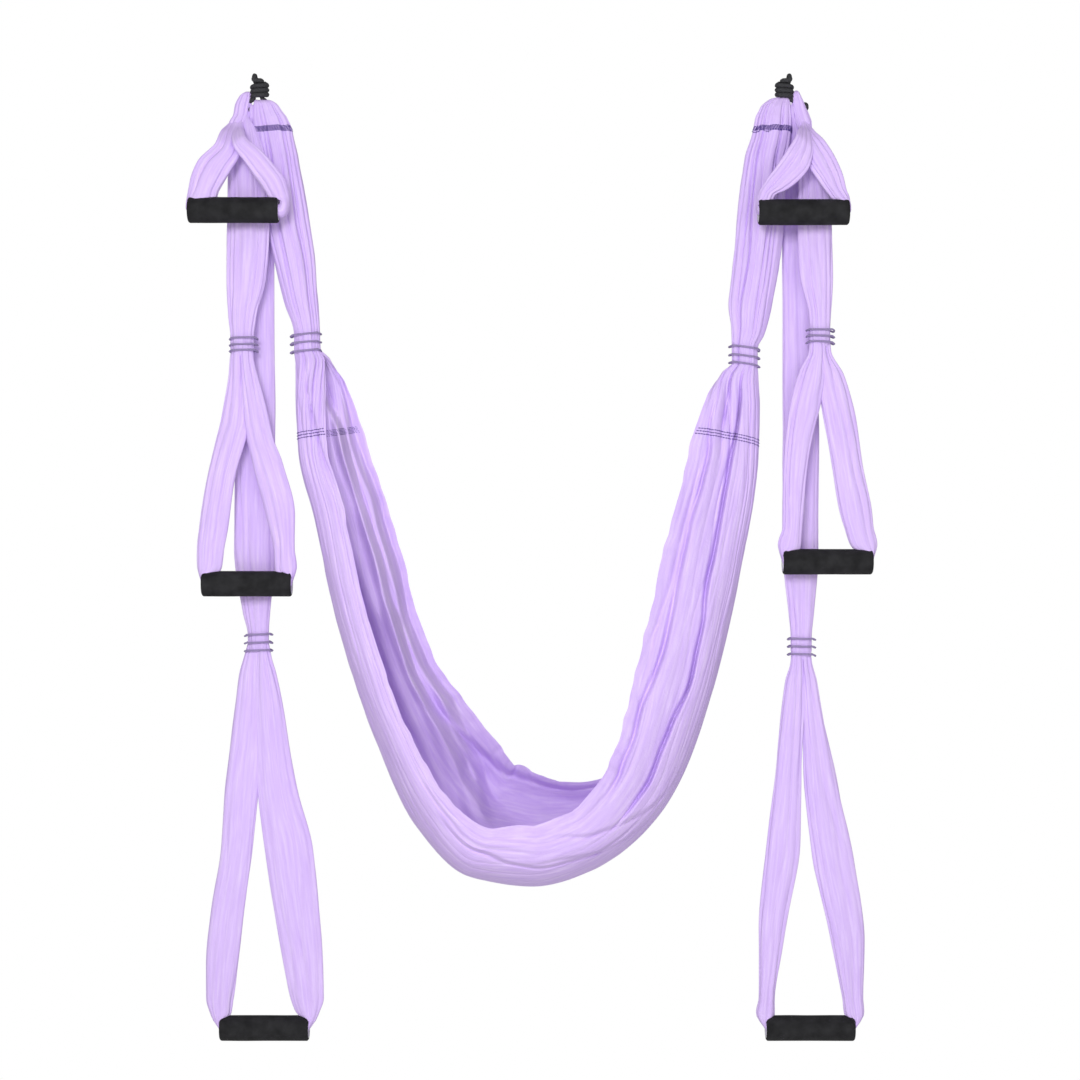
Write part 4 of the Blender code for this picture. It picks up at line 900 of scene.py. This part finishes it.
def rope_route(side):
    """The rope's points: tail, wraps, down to the run, back up through the knot, and the eye."""
    knot_low = -KNOT_DROP - KNOT_TURNS * KNOT_PITCH
    strand, wrap = KNOT_PITCH / 2, KNOT_PITCH / math.cos(math.pi / KNOT_POINTS)
    a, b = -KNOT_OFFSET - strand, -KNOT_OFFSET + strand
    top = -KNOT_DROP
    route = [(a - wrap * 0.4, 0.0085, top + 0.0040)]
    for step in range(round(KNOT_TURNS * KNOT_POINTS) + 1):
        angle = math.pi + 2 * math.pi * step / KNOT_POINTS
        x = (b if math.cos(angle) > 0 else a) + wrap * math.cos(angle)
        route.append((x, wrap * math.sin(angle), top - KNOT_PITCH * step / KNOT_POINTS))
    upper = RUN_Z + 2 * ROPE_BEND
    route.append((b + wrap * 0.8, -0.0012, knot_low - ROPE / 2))
    route.append((RUN_OUTER - ROPE_BEND - 0.003, 0, upper + 0.0012))
    for out, start in ((RUN_OUTER, math.pi / 2), (-RUN_INNER, -math.pi / 2)):
        if start < 0:
            route += [(RUN_OUTER, 0, RUN_Z), (-RUN_INNER, 0, RUN_Z)]
        for step in range(1, 6):
            angle = start - math.pi * step / 6
            route.append((out + ROPE_BEND * math.cos(angle), 0, RUN_Z + ROPE_BEND * (1 + math.sin(angle))))
    route.append((-RUN_INNER + ROPE, 0, upper + 0.0008))
    route.append((a - ROPE * 0.6, 0, upper + ROPE * 0.9))
    route += [(a, 0, knot_low), (a, 0, top + 0.0030), (a + 0.0012, -0.0050, top + 0.0058)]
    for step in range(7):
        angle = math.pi + math.pi * step / 6
        route.append((0, EYE_RADIUS * math.cos(angle), ROPE / 2 - EYE_RADIUS * (1 + math.sin(angle))))
    route += [(b, 0.0050, top + 0.0058), (b, 0, top + 0.0030), (b, 0, knot_low)]
    return [(out_x(side, out), y, z) for out, y, z in route]


def build_rope(side):
    def braid(at, ring):
        lay = at * 2 * math.pi / BRAID_LAY
        return 1.0 + 0.09 * np.maximum(np.sin(3 * ring + lay), np.sin(3 * ring - lay)) - 0.06

    line = smooth_line(rope_route(side), 420)
    rope = cord_piece(f"rope_braid_{side}", line, ROPE_SHOWN / 2, 24, ROPE_BLACK, twist=braid)
    hand_over(rope, "ropes", "rope", f"rope_{side}")


# The hammock and its stitching

stations = hammock_stations()
cloth_length = stations[-1, 0]
hammock, cloth_points, cloth_uv, cloth_inward = build_hammock(cloth_length)
cloth_nodes = [f"hammock_{part}_{side}" for part in ("channel", "end") for side in SIDES] + ["hammock_seat"]
hand_over(hammock, "hammock", "cloth", *cloth_nodes)


def row_at(z, side):
    """Grid row where the hammock's outer line passes a height on one side."""
    heights = pchip(stations, cloth_uv[:, 0, 0])[:, 1]
    half = ROWS // 2
    if side == "left":
        return float(np.interp(-z, -heights[:half], np.arange(half)))
    return float(np.interp(z, heights[half:], np.arange(half, ROWS)))


SEAM_Z = {"left": -0.5230, "right": -0.5290}
SEAM_SLANT = {"left": 0.0, "right": 1.4}
SEAM_PITCH, SEAM_RADIUS = 0.0042, 0.0008
SEAM = {"end": 0.995, "stitch": 0.0036, "gap": 0.0006, "lift": 0.00036}
BAND_Z, BAND_PITCH, BAND_RADIUS = -0.0755, 0.0017, 0.0009
BAND = {"start": 0.02, "end": 0.98, "stitch": 0.0030, "gap": 0.0008, "lift": 0.00048, "wander": 0.42}


def stitched(side, z, pitch, count, first, step, **thread):
    """Threads of several rows about a height; the first row starts at first, each next one a step on."""
    threads = []
    for number in range(count):
        row = row_at(z + pitch * (number - (count - 1) / 2), side)
        threads += stitch_row(cloth_points, cloth_inward, row, first + step * number, **thread)
    return threads


# Straps, grips and ropes.
# Half the width and depth of a gather cord's turn, and how far it tilts
STRAP_TURN, HAMMOCK_TURN = (0.0200, 0.0122), (0.0220, 0.0146)
STRAP_TILT = math.radians(1.5)
HAMMOCK_TILT = {"left": math.radians(5.0), "right": math.radians(8.0)}


def build_handle(kind, side, grip):
    """A middle or long strap: the upper bunch, the loop through the grip, and the gather's cords."""
    body = f"{kind}_strap_{side}"
    upper, upper_length = build_upper(kind, side)
    low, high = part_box(f"{kind}_gather_{side}_ring_1")
    gather = Vector(((low.x + high.x) / 2, (low.y + high.y) / 2, low.z))
    loop, length = build_loop(kind, side, gather, grip)
    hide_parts(f"{kind}_strap_loop_{side}")
    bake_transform(loop)
    build_gather(f"{kind}_gather_{side}", body, -STRAP_TILT * SIDES[side], *STRAP_TURN)


for side in SIDES:
    build_rope(side)
    grips = {kind: build_grip(kind, side) for kind in ("short", "middle", "long")}
    for kind in ("middle", "long"):
        build_handle(kind, side, grips[kind])
    build_gather(f"hammock_gather_{side}", "hammock", -HAMMOCK_TILT[side] * SIDES[side], *HAMMOCK_TURN)
    loop, length = build_short(side, grips["short"])
    hand_over(loop, f"short_strap_{side}", "cloth", f"short_strap_loop_{side}")

stitching = []
for side in SIDES:
    seam = stitched(
        side, SEAM_Z[side], SEAM_PITCH, 3, 0.0, 0.0012, start=0.005, slant=SEAM_SLANT[side], **SEAM
    )
    if side == "left":
        # Where the left seam shows its other side its stitches lie closer
        seam += stitched(side, SEAM_Z[side], SEAM_PITCH, 2, 0.0020, 0.0, start=0.52, **SEAM)
    band = stitched(side, BAND_Z, BAND_PITCH, 5, 0.0, 0.0009, **BAND)
    stitching.append(thread_piece(f"seam_stitches_{side}", seam, SEAM_RADIUS))
    stitching.append(thread_piece(f"channel_stitches_{side}", band, BAND_RADIUS))
for piece in stitching:
    hand_over(piece, "hammock", "gather_cord")


# Stage, light and camera

FLOOR_Z = -1.75
AIM = (0.39, 0, -0.7)
WHITE = (1, 1, 1, 1)


def shows_glow(tree, lit, glow, *rays):
    """Shader that shows the glow to the given kinds of ray, and the lit surface to all others."""
    path = add_node(tree, "ShaderNodeLightPath")
    fac = path.outputs[rays[0]]
    for ray in rays[1:]:
        most = add_node(tree, "ShaderNodeMath", {0: fac, 1: path.outputs[ray]})
        most.operation = "MAXIMUM"
        fac = most.outputs[0]
    mix = add_node(tree, "ShaderNodeMixShader", {0: fac, 1: lit.outputs[0], 2: glow.outputs[0]})
    return mix.outputs[0]


def white_stage(name):
    """Pale matte surface that the camera sees as plain white."""
    mat = bpy.data.materials.new(name)
    mat.use_nodes = True
    tree = mat.node_tree
    tree.nodes.clear()
    matte = add_node(tree, "ShaderNodeBsdfDiffuse", Color=(0.85, 0.85, 0.85, 1))
    glow = add_node(tree, "ShaderNodeEmission", Color=WHITE, Strength=1.0)
    surface = shows_glow(tree, matte, glow, "Is Camera Ray", "Is Glossy Ray", "Is Transmission Ray")
    add_node(tree, "ShaderNodeOutputMaterial", {"Surface": surface})
    return mat


def white_world():
    world = bpy.data.worlds.new("studio")
    bpy.context.scene.world = world
    world.use_nodes = True
    tree = world.node_tree
    back = tree.nodes["Background"]
    back.inputs["Color"].default_value = WHITE
    back.inputs["Strength"].default_value = 0.42
    white = add_node(tree, "ShaderNodeBackground", Color=WHITE, Strength=1.0)
    surface = shows_glow(tree, back, white, "Is Camera Ray")
    tree.links.new(surface, tree.nodes["World Output"].inputs["Surface"])


def area_light(name, place, aim, size, power):
    data = bpy.data.lights.new(name, "AREA")
    data.shape = "SQUARE"
    data.size = size
    data.energy = power
    lamp = new_object(name, data)
    lamp.location = place
    lamp.rotation_euler = (Vector(aim) - Vector(place)).to_track_quat("-Z", "Y").to_euler()


bpy.ops.mesh.primitive_plane_add(size=14, location=(AIM[0], 0, FLOOR_Z))
floor = bpy.context.object
floor.name = "floor"
floor.data.materials.append(white_stage("studio_white"))
white_world()
area_light("key", (-0.20, -3.35, 0.35), AIM, 1.0, 62)
area_light("fill", (1.6, -3.0, -0.5), AIM, 1.4, 15)
area_light("low", (0.45, -2.2, -1.68), (0.39, 0, -0.9), 1.2, 9)

camera_data = bpy.data.cameras.new("camera")
camera_data.sensor_width = 36
camera_data.sensor_fit = "HORIZONTAL"
camera_data.lens = camera_data.sensor_width * -CAMERA[1] / VIEW_WIDTH
camera = new_object("camera", camera_data)
camera.location = Vector(CAMERA.tolist())
camera.rotation_euler = (math.pi / 2, 0, 0)
bpy.context.scene.camera = camera
bpy.context.scene.view_settings.view_transform = "Standard"
